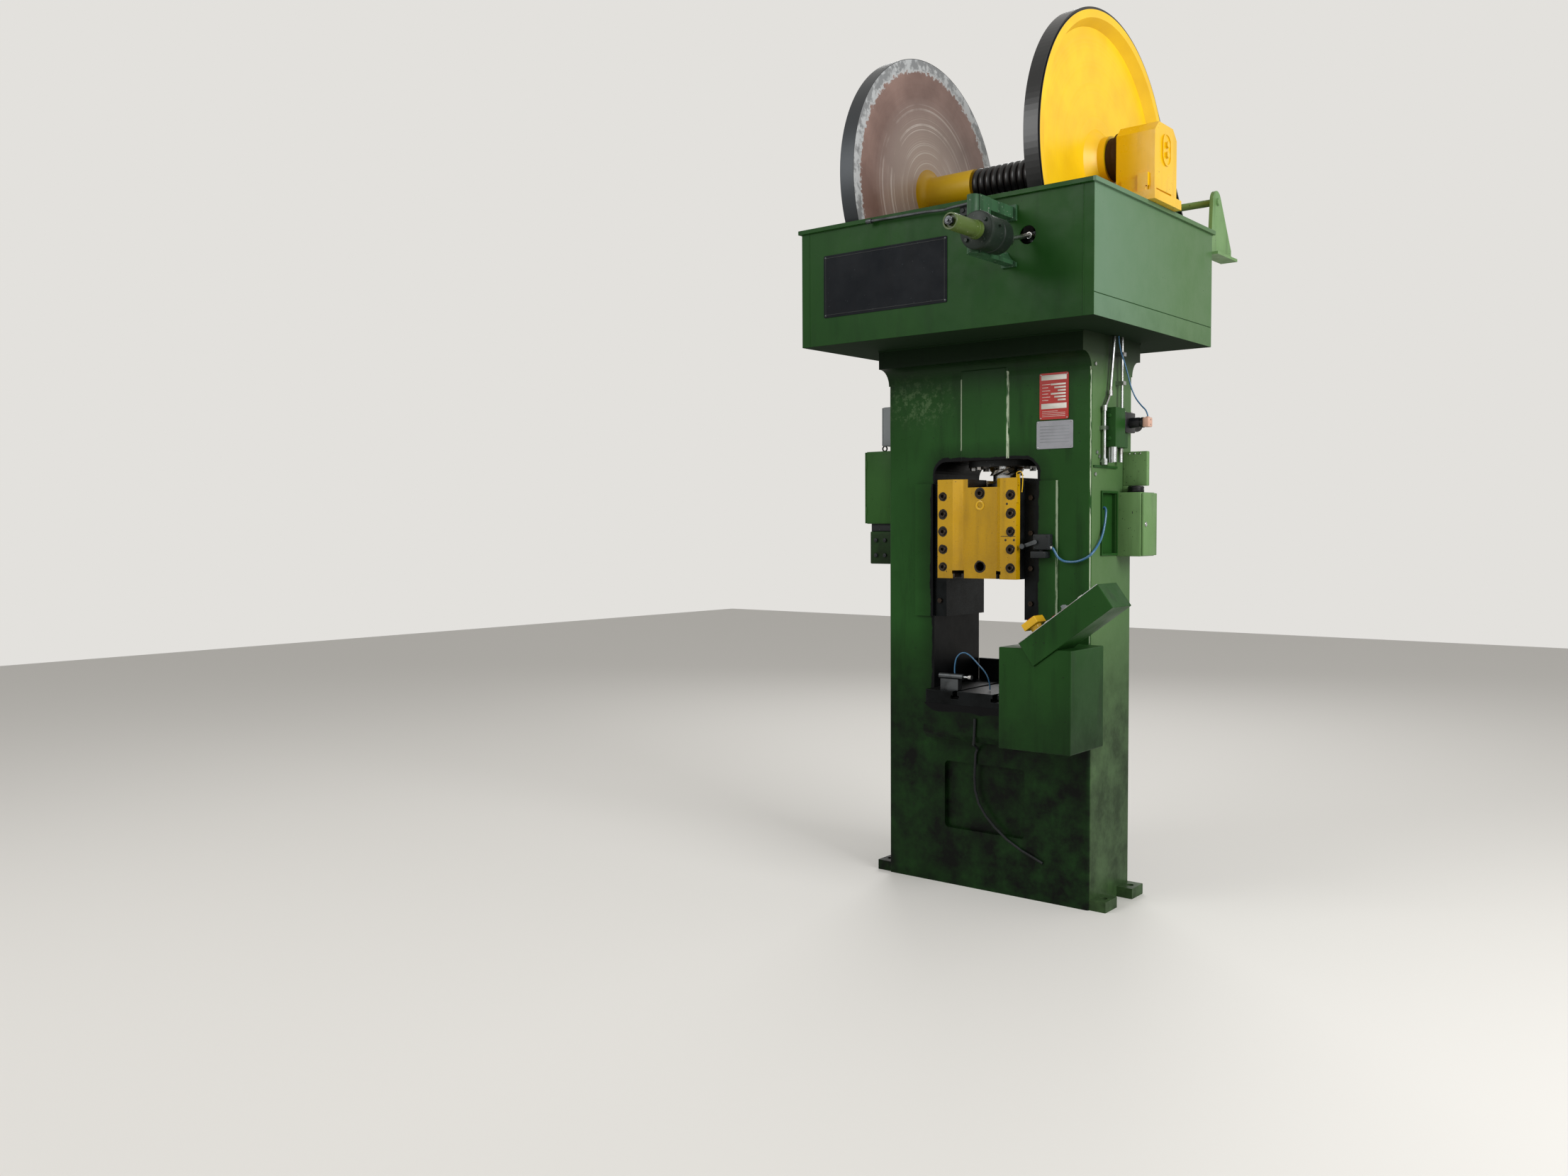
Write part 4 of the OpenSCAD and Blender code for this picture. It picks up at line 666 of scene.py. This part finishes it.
# Finned motor: round the shell the radius rises to a fin once in each pitch, a cosine cut off above and below
motorLook = {
    "x": (20.0, 340.0), "y": 840.0, "z": 2800.0, "root": 112.0, "tip": 126.0, "fins": 44, "plateY": 690.0,
    "frontBell": [(0, 18), (60, 18), (70, 12), (96, 10), (118, 6), (127, 0), (127.5, -8), (124, -12),
                  (106, -12), (0, -12)],
    "rearRing": [(0, 8), (114, 8), (123, 6), (124, -2), (112, -6), (0, -6)],
    "cowlFace": [(0, -44), (20, -44)],
    "grille": {"first": 26, "step": 13, "rings": 6, "ring": [(0, -44), (0.6, -38), (4.4, -38), (5, -44)]},
    "cowlWall": [(106, -44), (116, -42), (122, -34), (124, -10), (124, -3), (0, -3)],
    "gland": [(0, 30), (7, 30), (10, 26), (11, 12), (0, 12)],
    "boss": [(0, 0), (7, 0), (7, 6), (6, 7), (0, 7)],
    "bossCircle": 104, "eyeRadius": 15, "eyeHeight": 139,
}


def finnedMotor(look):
    (x0, x1), y, z, root = look["x"], look["y"], look["z"], look["root"]
    turn = np.linspace(0, 2 * np.pi, look["fins"] * 8, endpoint=False)
    pulse = np.clip(1.9 * np.cos(look["fins"] * turn) - 0.55, 0, 1)
    xs = np.array([x0 + 2, x0 + 4, x1 - 4, x1 - 2])
    reach = root + (look["tip"] - root) * pulse[None, :] * np.array([0.7, 1, 1, 0.7])[:, None]
    shell = np.stack([np.broadcast_to(xs[:, None], reach.shape), y + reach * np.cos(turn),
                      z + reach * np.sin(turn)], axis=-1)
    holes = look["grille"]      # the air grille is a row of rings with gaps between them
    rings = [(holes["first"] + holes["step"] * k + out, deep) for k in range(holes["rings"])
             for out, deep in holes["ring"]]
    grids = [capped(shell), turnedGrid(look["frontBell"], (x1, y, z), toRight, 64),
             turnedGrid(look["rearRing"], (x0, y, z), toRight, 64),
             turnedGrid(look["cowlFace"] + rings + look["cowlWall"], (x0, y, z), toRight, 64)]
    middle, top = (x0 + x1) / 2, z + root
    grids += [blockGrid((middle - 58, y - 58, top - 8), (middle + 58, y + 28, top + 42), 6),
              blockGrid((middle - 61, y - 61, top + 43), (middle + 61, y + 31, top + 56), 5)]
    grids += [domeHead((middle + sx * 48, y - 15 + sy * 36, top + 55.6), toTop, 5, 3)
              for sx in (-1, 1) for sy in (-1, 1)]
    entry = (middle - 58, y - 30, top + 18)
    grids += [hexHead(entry, toLeft, 26, 12), turnedGrid(look["gland"], entry, toLeft, 20)]
    for fx in (x0 + 20, x1 - 70):
        grids.append(blockGrid((fx, look["plateY"] + 0.3, z - 96), (fx + 50, y - 96, z + 96), 6))
        grids += [hexHead((fx + 25, y - 96.5, z + s * 78), toBack, 18, 10) for s in (-1, 1)]
    out = look["bossCircle"]
    grids += [turnedGrid(look["boss"], (x1 + 8, y + out * math.cos(a), z + out * math.sin(a)), toRight, 12)
              for a in np.radians([45, 135, 225, 315])]
    turn, out = np.linspace(0, 2 * np.pi, 25), look["eyeRadius"]
    eye = np.stack([np.full(25, middle + 92), y + out * np.sin(turn),
                    z + look["eyeHeight"] - out * np.cos(turn)], axis=1)
    grids.append(tubeGrid(eye, 4, 10, toRight))
    makePiece("finnedMotor", grids, "paleEnamel", 32, replaces="motor")


finnedMotor(motorLook)
print("sleeve and motor built")


# Spring brake on the casing's front: a turned body and a worn tube with its adjusting screw
brakeLook = {
    "x": 394.0, "y": -935.0, "z": 2687.0, "radius": 71.0, "tube": 180.0, "boltCircle": 52.0,
    "body": [(0, 0), (64, 0), (69, 2), (71, 7), (71, 22), (69, 25), (66, 27), (66, 95), (63, 98), (63, 102),
             (66, 105), (66, 162), (63, 166), (54, 175), (0, 175)],
    "tubeWall": [(0, -169), (24, -169), (24, -179), (25, -180), (29.5, -180), (31, -178), (31, -22),
                 (33, -20), (33, -8), (36, 0.5), (0, 0.5)],
    "thread": {"radius": 10.8, "depth": 1.6, "pitch": 4.0, "length": 34},
    "tail": [(0, -6.5), (5, -6.5), (6, -5.5), (6, 0), (0, 0)],
}


# Screw thread: the radius rises and falls once in each pitch, shifted round by the angle
def threadGrid(origin, axis, radius, depth, pitch, length, sides=24):
    axis, aside, other = crossAxes(axis)
    turn = np.linspace(0, 2 * np.pi, sides, endpoint=False)[None, :]
    along = np.linspace(0, length, int(length / pitch * 6) + 1)[:, None]
    wave = np.abs(((along / pitch + turn / (2 * np.pi)) % 1.0) * 2 - 1)
    reach = (radius - depth * wave)[:, :, None]
    ring = np.cos(turn)[:, :, None] * aside + np.sin(turn)[:, :, None] * other
    return capped(np.asarray(origin, float) + reach * ring + along[:, :, None] * axis)


def springBrake(look):
    x, y, z = origin = np.array([look["x"], look["y"], look["z"]])
    out = look["boltCircle"]
    grids = [turnedGrid(look["body"], origin, toBack, 72)]
    grids += [hexHead((x + out * math.cos(a), y - 0.2, z + out * math.sin(a)), toFront, 14, 8)
              for a in np.radians([40, 130, 220, 310])]
    grids.append(hexHead((x + look["radius"] - 6, y + 60, z + 14), (1, 0, 0.2), 10, 9))
    makePiece("brakeBody", grids, "brakeEnamel", 30)
    makePiece("brakeTube", [turnedGrid(look["tubeWall"], origin, toBack, 48)], "oliveEnamel", 30)
    end = origin - [0, look["tube"] + 15, 0]
    grids = [threadGrid(end, toBack, **look["thread"]), hexHead(end + [0, 15, 0], toFront, 31, 12),
             turnedGrid(look["tail"], end, toBack, 20)]
    makePiece("brakeAdjuster", grids, "oiledSteel", 30, replaces="brake_cylinder")


springBrake(brakeLook)


# Plates: dark plate left bare, red data plate and pale notice with plain ruled fields;
# a field is its left, right, lower and upper edge on the plate
plateLook = {
    "name": {"x": (-572, 53), "z": (2508, 2774), "y": -588.0, "inset": 9},
    "rating": {"x": (265, 397), "z": (2044, 2236), "y": -198.0, "inset": 6, "rows": 6, "step": 13,
               "fields": [(8, 124, 163, 184), (8, 124, 44, 66)],
               "lines": [(12, 118, 12, 13.4), (12, 118, 19, 20.4), (12, 118, 26, 27.4), (12, 84, 33, 34.4)]},
    "notice": {"x": (252, 418), "z": (1922, 2038), "y": -198.0, "inset": 6, "rows": 6, "step": 13},
}


# Flat frame: a rounded rectangle's border, drawn as a tube with a flattened section
def borderGrid(x, z, y, inset, width, proud):
    x0, x1, z0, z1 = x[0] + inset, x[1] - inset, z[0] + inset, z[1] - inset
    r = 6.0
    quarter = np.linspace(0, np.pi / 2, 5)
    corners = [(x1 - r, z1 - r, 0), (x0 + r, z1 - r, 1), (x0 + r, z0 + r, 2), (x1 - r, z0 + r, 3)]
    loop = np.concatenate([np.stack([cx + r * np.cos(quarter + k * np.pi / 2),
                                     cz + r * np.sin(quarter + k * np.pi / 2)], axis=1)
                           for cx, cz, k in corners])
    ahead = np.roll(loop, -1, axis=0) - np.roll(loop, 1, axis=0)
    ahead /= np.linalg.norm(ahead, axis=1)[:, None]
    out = np.stack([ahead[:, 1], -ahead[:, 0]], axis=1)
    section = np.array([(-1, -0.2), (-1, 0.8), (-0.8, 1), (0.8, 1), (1, 0.8), (1, -0.2)])
    flat = loop[:, None] + out[:, None] * (section[:, 0] * width / 2)[None, :, None]
    rise = np.broadcast_to(y - section[:, 1] * proud, flat.shape[:2])
    return np.stack([flat[..., 0], rise, flat[..., 1]], axis=-1)


def ruledRows(name, plate, rows, edge, material):
    x, y, z = plate["x"][0], plate["y"], plate["z"][0]
    makePiece(name, [blockGrid((x + left, y - edge, z + low), (x + right, y + 0.4, z + high), 0.2, 1)
                     for left, right, low, high in rows], material, 60)


def cornerHeads(name, plates, radius, material):
    makePiece(name, [domeHead((x, plate["y"] + 0.1, z), toFront, radius, 2.2) for plate in plates
                     for x in (plate["x"][0] + plate["inset"], plate["x"][1] - plate["inset"])
                     for z in (plate["z"][0] + plate["inset"], plate["z"][1] - plate["inset"])], material, 50)


def dressPlates(look):
    name, rating, notice = look["name"], look["rating"], look["notice"]
    border = borderGrid(name["x"], name["z"], name["y"], 11, 3.0, 1.0)
    makePiece("namePlateBorder", [border], "darkEnamel", ringEnds=True)
    cornerHeads("nameScrews", (name,), 5.0, "oiledSteel")
    cornerHeads("plateRivets", (rating, notice), 3.2, "brightSteel")
    levels = [rating["step"] * k for k in range(rating["rows"])]
    words = [(12, 40 + 9 * (k % 2), 79 + level, 81 + level) for k, level in enumerate(levels)]
    boxes = [(84 - 16 * (k % 3), 120, 76 + level, 83 + level) for k, level in enumerate(levels)]
    rows = rating["fields"] + words + boxes + rating["lines"]
    ruledRows("ratingFields", rating, rows, 0.35, "whitePlastic")
    levels = [92 - notice["step"] * k for k in range(notice["rows"])]
    ruledRows("noticeLines", notice, [(16, 150, level, level + 2.5) for level in levels], 0.3, "greyPlastic")


dressPlates(plateLook)


# Ram: socket screws sunk in round pockets, a ring in the upper hole, small pins and the cam's bent wire
ramLook = {
    "screwX": 167.0, "screwZ": (1423, 1500, 1577, 1654, 1731), "seatY": -251.8, "screw": (15.0, 20.0),
    "crown": (0, -217.8, 1742), "crownScrew": (16.4, 22),
    "ring": [(13, 0), (13, 2.4), (15, 3.2), (19, 3.2), (21, 2.2), (21.5, 0)], "ringSpot": (0, -233, 1690),
    "pin": [(0, 0), (5.0, 0), (5.0, 0.3), (4.4, 0.5), (0, 0.5)],
    "pinSpots": [(150, -266, 1694), (144, -266, 1541), (184, -266, 1541)],
    "mark": ((121, -266.3, 1556), (191, -265.8, 1558.4)),
    "wire": [(197, -265, 1806), (197, -267, 1816), (199, -270, 1824), (208, -270, 1828), (219, -270, 1827),
             (225, -270, 1819), (227, -270, 1800), (226, -270, 1770), (223, -270, 1742)],
    "wireRadius": 1.8,
}


def ramHardware(look):
    heads = [socketHead((sx * look["screwX"], look["seatY"], z), toFront, *look["screw"])
             for sx in (-1, 1) for z in look["screwZ"]]
    heads.append(socketHead(look["crown"], toFront, *look["crownScrew"]))
    makePiece("ramScrews", heads, "brownedSteel", 35, "ram", replaces="ram_bolts")
    # the ring takes the brighter housing yellow as a painted highlight against the ram's darker yellow
    ring = turnedGrid(look["ring"], look["ringSpot"], toFront, 40)
    makePiece("ramPlugHighlit", [ring], "yellowEnamel", body="ram", ringEnds=True)
    pins = [turnedGrid(look["pin"], spot, toFront, 16) for spot in look["pinSpots"]]
    makePiece("ramPins", pins + [blockGrid(*look["mark"], 0.2, 1)], "darkEnamel", body="ram")
    wire = tubeGrid(smoothPath(look["wire"], 6), look["wireRadius"], 8, toBack)
    makePiece("camWire", [wire], "yellowEnamel", 60, "ram")


ramHardware(ramLook)


# Cabinet and oiler on the frame's right side, with the post above the cabinet
sideLook = {
    "x": 500.0, "y": (47.5, 189.5), "z": (1470.0, 1740.0), "depth": 120.0, "door": 12.0, "hingeInset": 50.0,
    "postY": (104, 130), "arm": (110, 1768, 1914), "foot": (26, 1738, 1769),
    "lock": [(0, 3.5), (4, 3.5), (4.5, 4), (9, 4), (10, 3), (10, 0), (0, 0)],
    "oiler": [(0, 0), (33, 0), (34, 1.5), (34, 12), (32.5, 13), (32.5, 15), (34, 16), (34, 22), (31, 26),
              (0, 26)],
    "oilerSpot": (566, 92, 1740),
}


def sideCabinet(look):
    x, (y0, y1), (z0, z1), d = look["x"], look["y"], look["z"], look["depth"]
    inner = x + d - look["door"]
    grids = [blockGrid((x, y0, z0), (inner, y1, z1), 4),
             blockGrid((inner + 1, y0 + 3, z0 + 3), (x + d, y1 - 3, z1 - 3), 3)]
    for (reach, low, high), edge in ((look["arm"], 4), (look["foot"], 3)):
        grids.append(blockGrid((x + 0.2, look["postY"][0], low), (x + reach, look["postY"][1], high), edge))
    for z in (z0 + look["hingeInset"], z1 - look["hingeInset"]):
        grids.append(hingeBarrel((x + d - 8, y1 - 0.5, z - 18), 36))
    makePiece("sideCabinet", grids, "paleEnamel")
    lock = [turnedGrid(look["lock"], (x + d - 0.2, y0 + 22, (z0 + z1) / 2), toRight, 24)]
    lock += [domeHead((x + 30 + 24 * k, look["postY"][0] - 0.2, 1905), toFront, 4, 2.5) for k in range(3)]
    makePiece("sideCabinetLock", lock, "brightSteel")
    oiler = turnedGrid(look["oiler"], look["oilerSpot"], toTop, 48)
    makePiece("oilerCap", [oiler], "blackPlastic", 35, replaces="side_box")


sideCabinet(sideLook)


# Cabinet on the left side, on its shelf and bracket, with a lifting eye on top and a junction box above it
leftLook = {
    "x": (-652.0, -500.0), "y": (-175.0, 25.0), "z": (1614.0, 1948.0), "shelf": 36.0, "bracket": 150.0,
    "eye": (-606.0, -75.0), "eyeRadius": 12.0, "wire": 3.5, "box": (-590.0, -125.0, 1974.0),
    "boxSize": (60.0, 180.0), "hingeInset": 60.0, "collar": [(0, 0), (10, 0), (10, 5), (8, 8), (0, 8)],
}


def leftCabinet(look):
    (x0, x1), (y0, y1), (z0, z1) = look["x"], look["y"], look["z"]
    wall, low = x1 - 0.2, z0 - look["shelf"]
    grids = [blockGrid((x0 + 11, y0, z0), (wall, y1, z1), 4),
             blockGrid((x0, y0 + 2, z0 + 2), (x0 + 10, y1 - 2, z1 - 2), 3),
             blockGrid((x0 + 24, y0 + 10, low - look["bracket"]), (wall, y1 - 10, low + 0.5), 5)]
    for z in (z0 + look["hingeInset"], z1 - look["hingeInset"]):
        grids.append(hingeBarrel((x0 + 9, y0 + 0.5, z - 20), 40))
    makePiece("leftCabinet", grids, "cabinetEnamel")
    shelf = [blockGrid((x0 + 24, y0 + 20, low), (wall, y1 - 20, z0 + 4), 3)]
    shelf += [hexHead((x0 + 60 + 50 * i, y0 + 10, low - 40 - 70 * j), toFront, 17, 9)
              for i in (0, 1) for j in (0, 1)]
    makePiece("leftShelf", shelf, "darkEnamel")
    ex, ey = look["eye"]
    turn = np.linspace(0, 2 * np.pi, 33)[:-1, None]
    section = np.linspace(0, 2 * np.pi, 12, endpoint=False)[None, :]
    reach = look["eyeRadius"] + look["wire"] * np.cos(section)
    loop = np.stack([ex + reach * np.cos(turn), ey + look["wire"] * np.sin(section) + 0 * turn,
                     z1 + 6 + look["eyeRadius"] + reach * np.sin(turn)], axis=-1)
    collar = turnedGrid(look["collar"], (ex, ey, z1 - 0.5), toTop, 24)
    makePiece("leftEye", [loop], "darkEnamel", 60, ringEnds=True)
    makePiece("leftEyeCollar", [collar], "darkEnamel")
    (bx, by, bz), (wide, tall) = look["box"], look["boxSize"]
    box = [blockGrid((bx + 8, by, bz), (wall, by + wide, bz + tall), 4),
           blockGrid((bx, by + 2, bz + 2), (bx + 7, by + wide - 2, bz + tall - 2), 3)]
    box += [domeHead((bx + 0.2, by + 9 + 42 * i, bz + 10 + 160 * j), toLeft, 4, 2.2)
            for i in (0, 1) for j in (0, 1)]
    makePiece("leftJunctionBox", box, "greyPlastic")


leftCabinet(leftLook)


# Desk: the bright worn lip round the tilted panel, and the panel's four screws
deskLook = {"spot": (335.0, -500.0, 1130.0), "tilt": 36.0, "length": 420.0, "width": 170.0, "lip": 1.7,
            "inset": 12.0}


def deskTrim(look):
    lean = math.radians(look["tilt"])
    along, over = (math.cos(lean), 0, math.sin(lean)), (-math.sin(lean), 0, math.cos(lean))
    length, width, inset = look["length"], look["width"], look["inset"]
    grids = [tubeGrid([(1, -0.4, -0.6), (length - 1, -0.4, -0.6)], look["lip"], 8),
             tubeGrid([(-0.4, 1, -0.6), (-0.4, width - 1, -0.6)], look["lip"], 8)]
    grids += [domeHead((x, y, 0.2), toTop, 4, 2.2) for x in (inset, length - inset)
              for y in (inset, width - inset)]
    makePiece("deskLip", [stoodOn(grid, look["spot"], over, along) for grid in grids], "brightSteel")


deskTrim(deskLook)


# Solenoid valve: body, ribbed coil, end cap and the cable's plug
valveLook = {
    "x": 500.0, "y": 4.3, "z": 1990.0, "size": (58, 96, 84), "coilZ": 2028.0, "ribs": 7, "ribStep": 11.8,
    "rib": [(24.5, 0), (27, 1.5), (27, 8.5), (24.5, 10)],
    "cap": [(0, 0), (12, 0), (12, 14), (10.5, 18), (0, 18)],
    "drum": [(0, 0), (20, 0), (22, 2), (22, 40), (20, 43), (20, 48), (22, 50), (22, 60), (21, 61.5),
             (0, 61.5)],
    "drumSpot": (557, 52, 2030), "plug": ((618, 32, 2010), (646.5, 72, 2050)),
    "nut": [(0, -3), (7, -3), (8, -1), (8, 4), (0, 4)], "nutSpot": (633, 52, 2049),
}


def solenoid(look):
    x, y, z, (sx, sy, sz) = look["x"], look["y"], look["z"], look["size"]
    ribs = [(radius, look["ribStep"] * k + rise) for k in range(look["ribs"]) for radius, rise in look["rib"]]
    coil = [(0, 0)] + ribs + [(24.5, 84), (0, 84)]
    grids = [blockGrid((x, y, z), (x + sx, y + sy, z + sz), 4),
             turnedGrid(coil, (x + 29, 100, look["coilZ"]), toBack, 40),
             turnedGrid(look["cap"], (x + 29, 184, look["coilZ"]), toBack, 28),
             turnedGrid(look["drum"], look["drumSpot"], toRight, 40)]
    makePiece("solenoidBody", grids, "blackPlastic", 35, replaces="solenoid_valve")
    screws = [socketHead((x + 12 + 34 * i, y + 14 + 66 * j, z + sz - 0.5), toTop, 5, 5)
              for i in (0, 1) for j in (0, 1)]
    makePiece("solenoidScrews", screws, "brightSteel")
    plug = [blockGrid(*look["plug"], 5), turnedGrid(look["nut"], look["nutSpot"], toTop, 20)]
    makePiece("solenoidPlug", plug, "plugPlastic")
    heads = [domeHead((look["plug"][1][0] - 0.2, 52, z), toRight, 3, 1.2) for z in (2040, 2020)]
    makePiece("solenoidPlugScrews", heads, "oiledSteel")


solenoid(valveLook)


# Switch box with its cover, lower housing and screws, and the hose's nut
switchLook = {"x": (258.0, 334.0), "y": (-241.0, -207.0), "z": (1500.0, 1566.0), "stem": (290, -223),
              "hoseNut": (333.8, -224, 1509)}


def switchBox(look):
    (x0, x1), (y0, y1), (z0, z1) = look["x"], look["y"], look["z"]
    grids = [blockGrid((x0, y0 + 6, z0), (x1, y1, z1), 3),
             blockGrid((x0 + 1, y0, z0 + 1), (x1 - 1, y0 + 7, z1 - 1), 2.5),
             blockGrid((x0 - 6, y0 - 10, z0 - 34), (x0 + 64, y1, z0 - 6), 3)]
    grids += [domeHead((x0 + 9 + 58 * i, y0 + 0.1, z0 + 9 + 48 * j), toFront, 4, 2.4)
              for i in (0, 1) for j in (0, 1)]
    grids.append(turnedGrid([(0, 0), (10, 0), (10, 8), (0, 8)], (*look["stem"], z0 - 6.3), toTop, 24))
    makePiece("switchBox", grids, "darkEnamel", replaces="limit_switch")
    makePiece("hoseNut", [hexHead(look["hoseNut"], toRight, 17, 9)], "brightSteel", 35)


switchBox(switchLook)


# Weld beads on the casing, where its sheets meet
seams = {
    "corners": [(652, -585.4), (-652, -585.4), (652, 585.4), (-652, 585.4)], "heights": (2392, 2880),
    "flanges": (-276, 276), "flangeZ": 2389, "flangeHalf": 500,
}


def weldSeams(look):
    low, high = look["heights"]
    z, half = look["flangeZ"], look["flangeHalf"]
    grids = [beadGrid([(x, y, low), (x, y, high)], 1.6, 8.0, toRight) for x, y in look["corners"]]
    grids += [beadGrid([(-half, y, z), (half, y, z)], 4.5, 9.0) for y in look["flanges"]]
    makePiece("weldSeams", grids, "casingEnamel", 70)


weldSeams(seams)
print("fittings built")


# Studio: pale floor, pale surround, three soft lamps
studio = {
    "floorColour": "#e4e2de",
    "floorReach": 14.0,
    "surround": "#e3e1dd",
    "worldStrength": 0.55,
    "lamps": [
        {"name": "keyLamp", "spot": (-2.6, -6.0, 5.2), "aim": (0, 0, 2.1), "size": 3.2, "power": 150},
        {"name": "sideLamp", "spot": (6.0, -1.5, 4.2), "aim": (0, 0, 2.2), "size": 3.2, "power": 330},
        {"name": "backLamp", "spot": (-3.0, 5.0, 5.5), "aim": (0, 0, 2.4), "size": 3.0, "power": 120},
    ],
}


def buildStudio(look):
    world = bpy.data.worlds.new("surround")
    bpy.context.scene.world = world
    world.use_nodes = True
    tree = world.node_tree
    light = fill(tree.nodes["Background"], Color=look["surround"], Strength=look["worldStrength"])
    shown = addNode(tree, "Background", Color=look["surround"], Strength=1.0)
    rays = addNode(tree, "LightPath").outputs
    seen = addNode(tree, "Math MAXIMUM", rays["Is Camera Ray"], rays["Is Glossy Ray"])
    seen = addNode(tree, "Math MAXIMUM", seen, rays["Is Transmission Ray"])
    fill(tree.nodes["World Output"], addNode(tree, "MixShader", seen, light, shown))
    mesh = bpy.data.meshes.new("floor")
    reach = look["floorReach"]
    mesh.from_pydata([(-reach, -reach, 0), (reach, -reach, 0), (reach, reach, 0), (-reach, reach, 0)], [],
                     [(0, 1, 2, 3)])
    floor = bpy.data.objects.new("floor", mesh)
    bpy.context.scene.collection.objects.link(floor)
    mesh.materials.append(newMaterial("floorPaint", Base_Color=look["floorColour"], Roughness=0.7)[0])
    for lamp in look["lamps"]:
        data = bpy.data.lights.new(lamp["name"], "AREA")
        data.size = lamp["size"]
        data.energy = lamp["power"]
        item = bpy.data.objects.new(lamp["name"], data)
        item.location = lamp["spot"]
        item.rotation_euler = (Vector(lamp["aim"]) - Vector(lamp["spot"])).to_track_quat("-Z", "Y").to_euler()
        bpy.context.scene.collection.objects.link(item)


buildStudio(studio)
bpy.context.scene.view_settings.view_transform = "Standard"
print("studio lit")
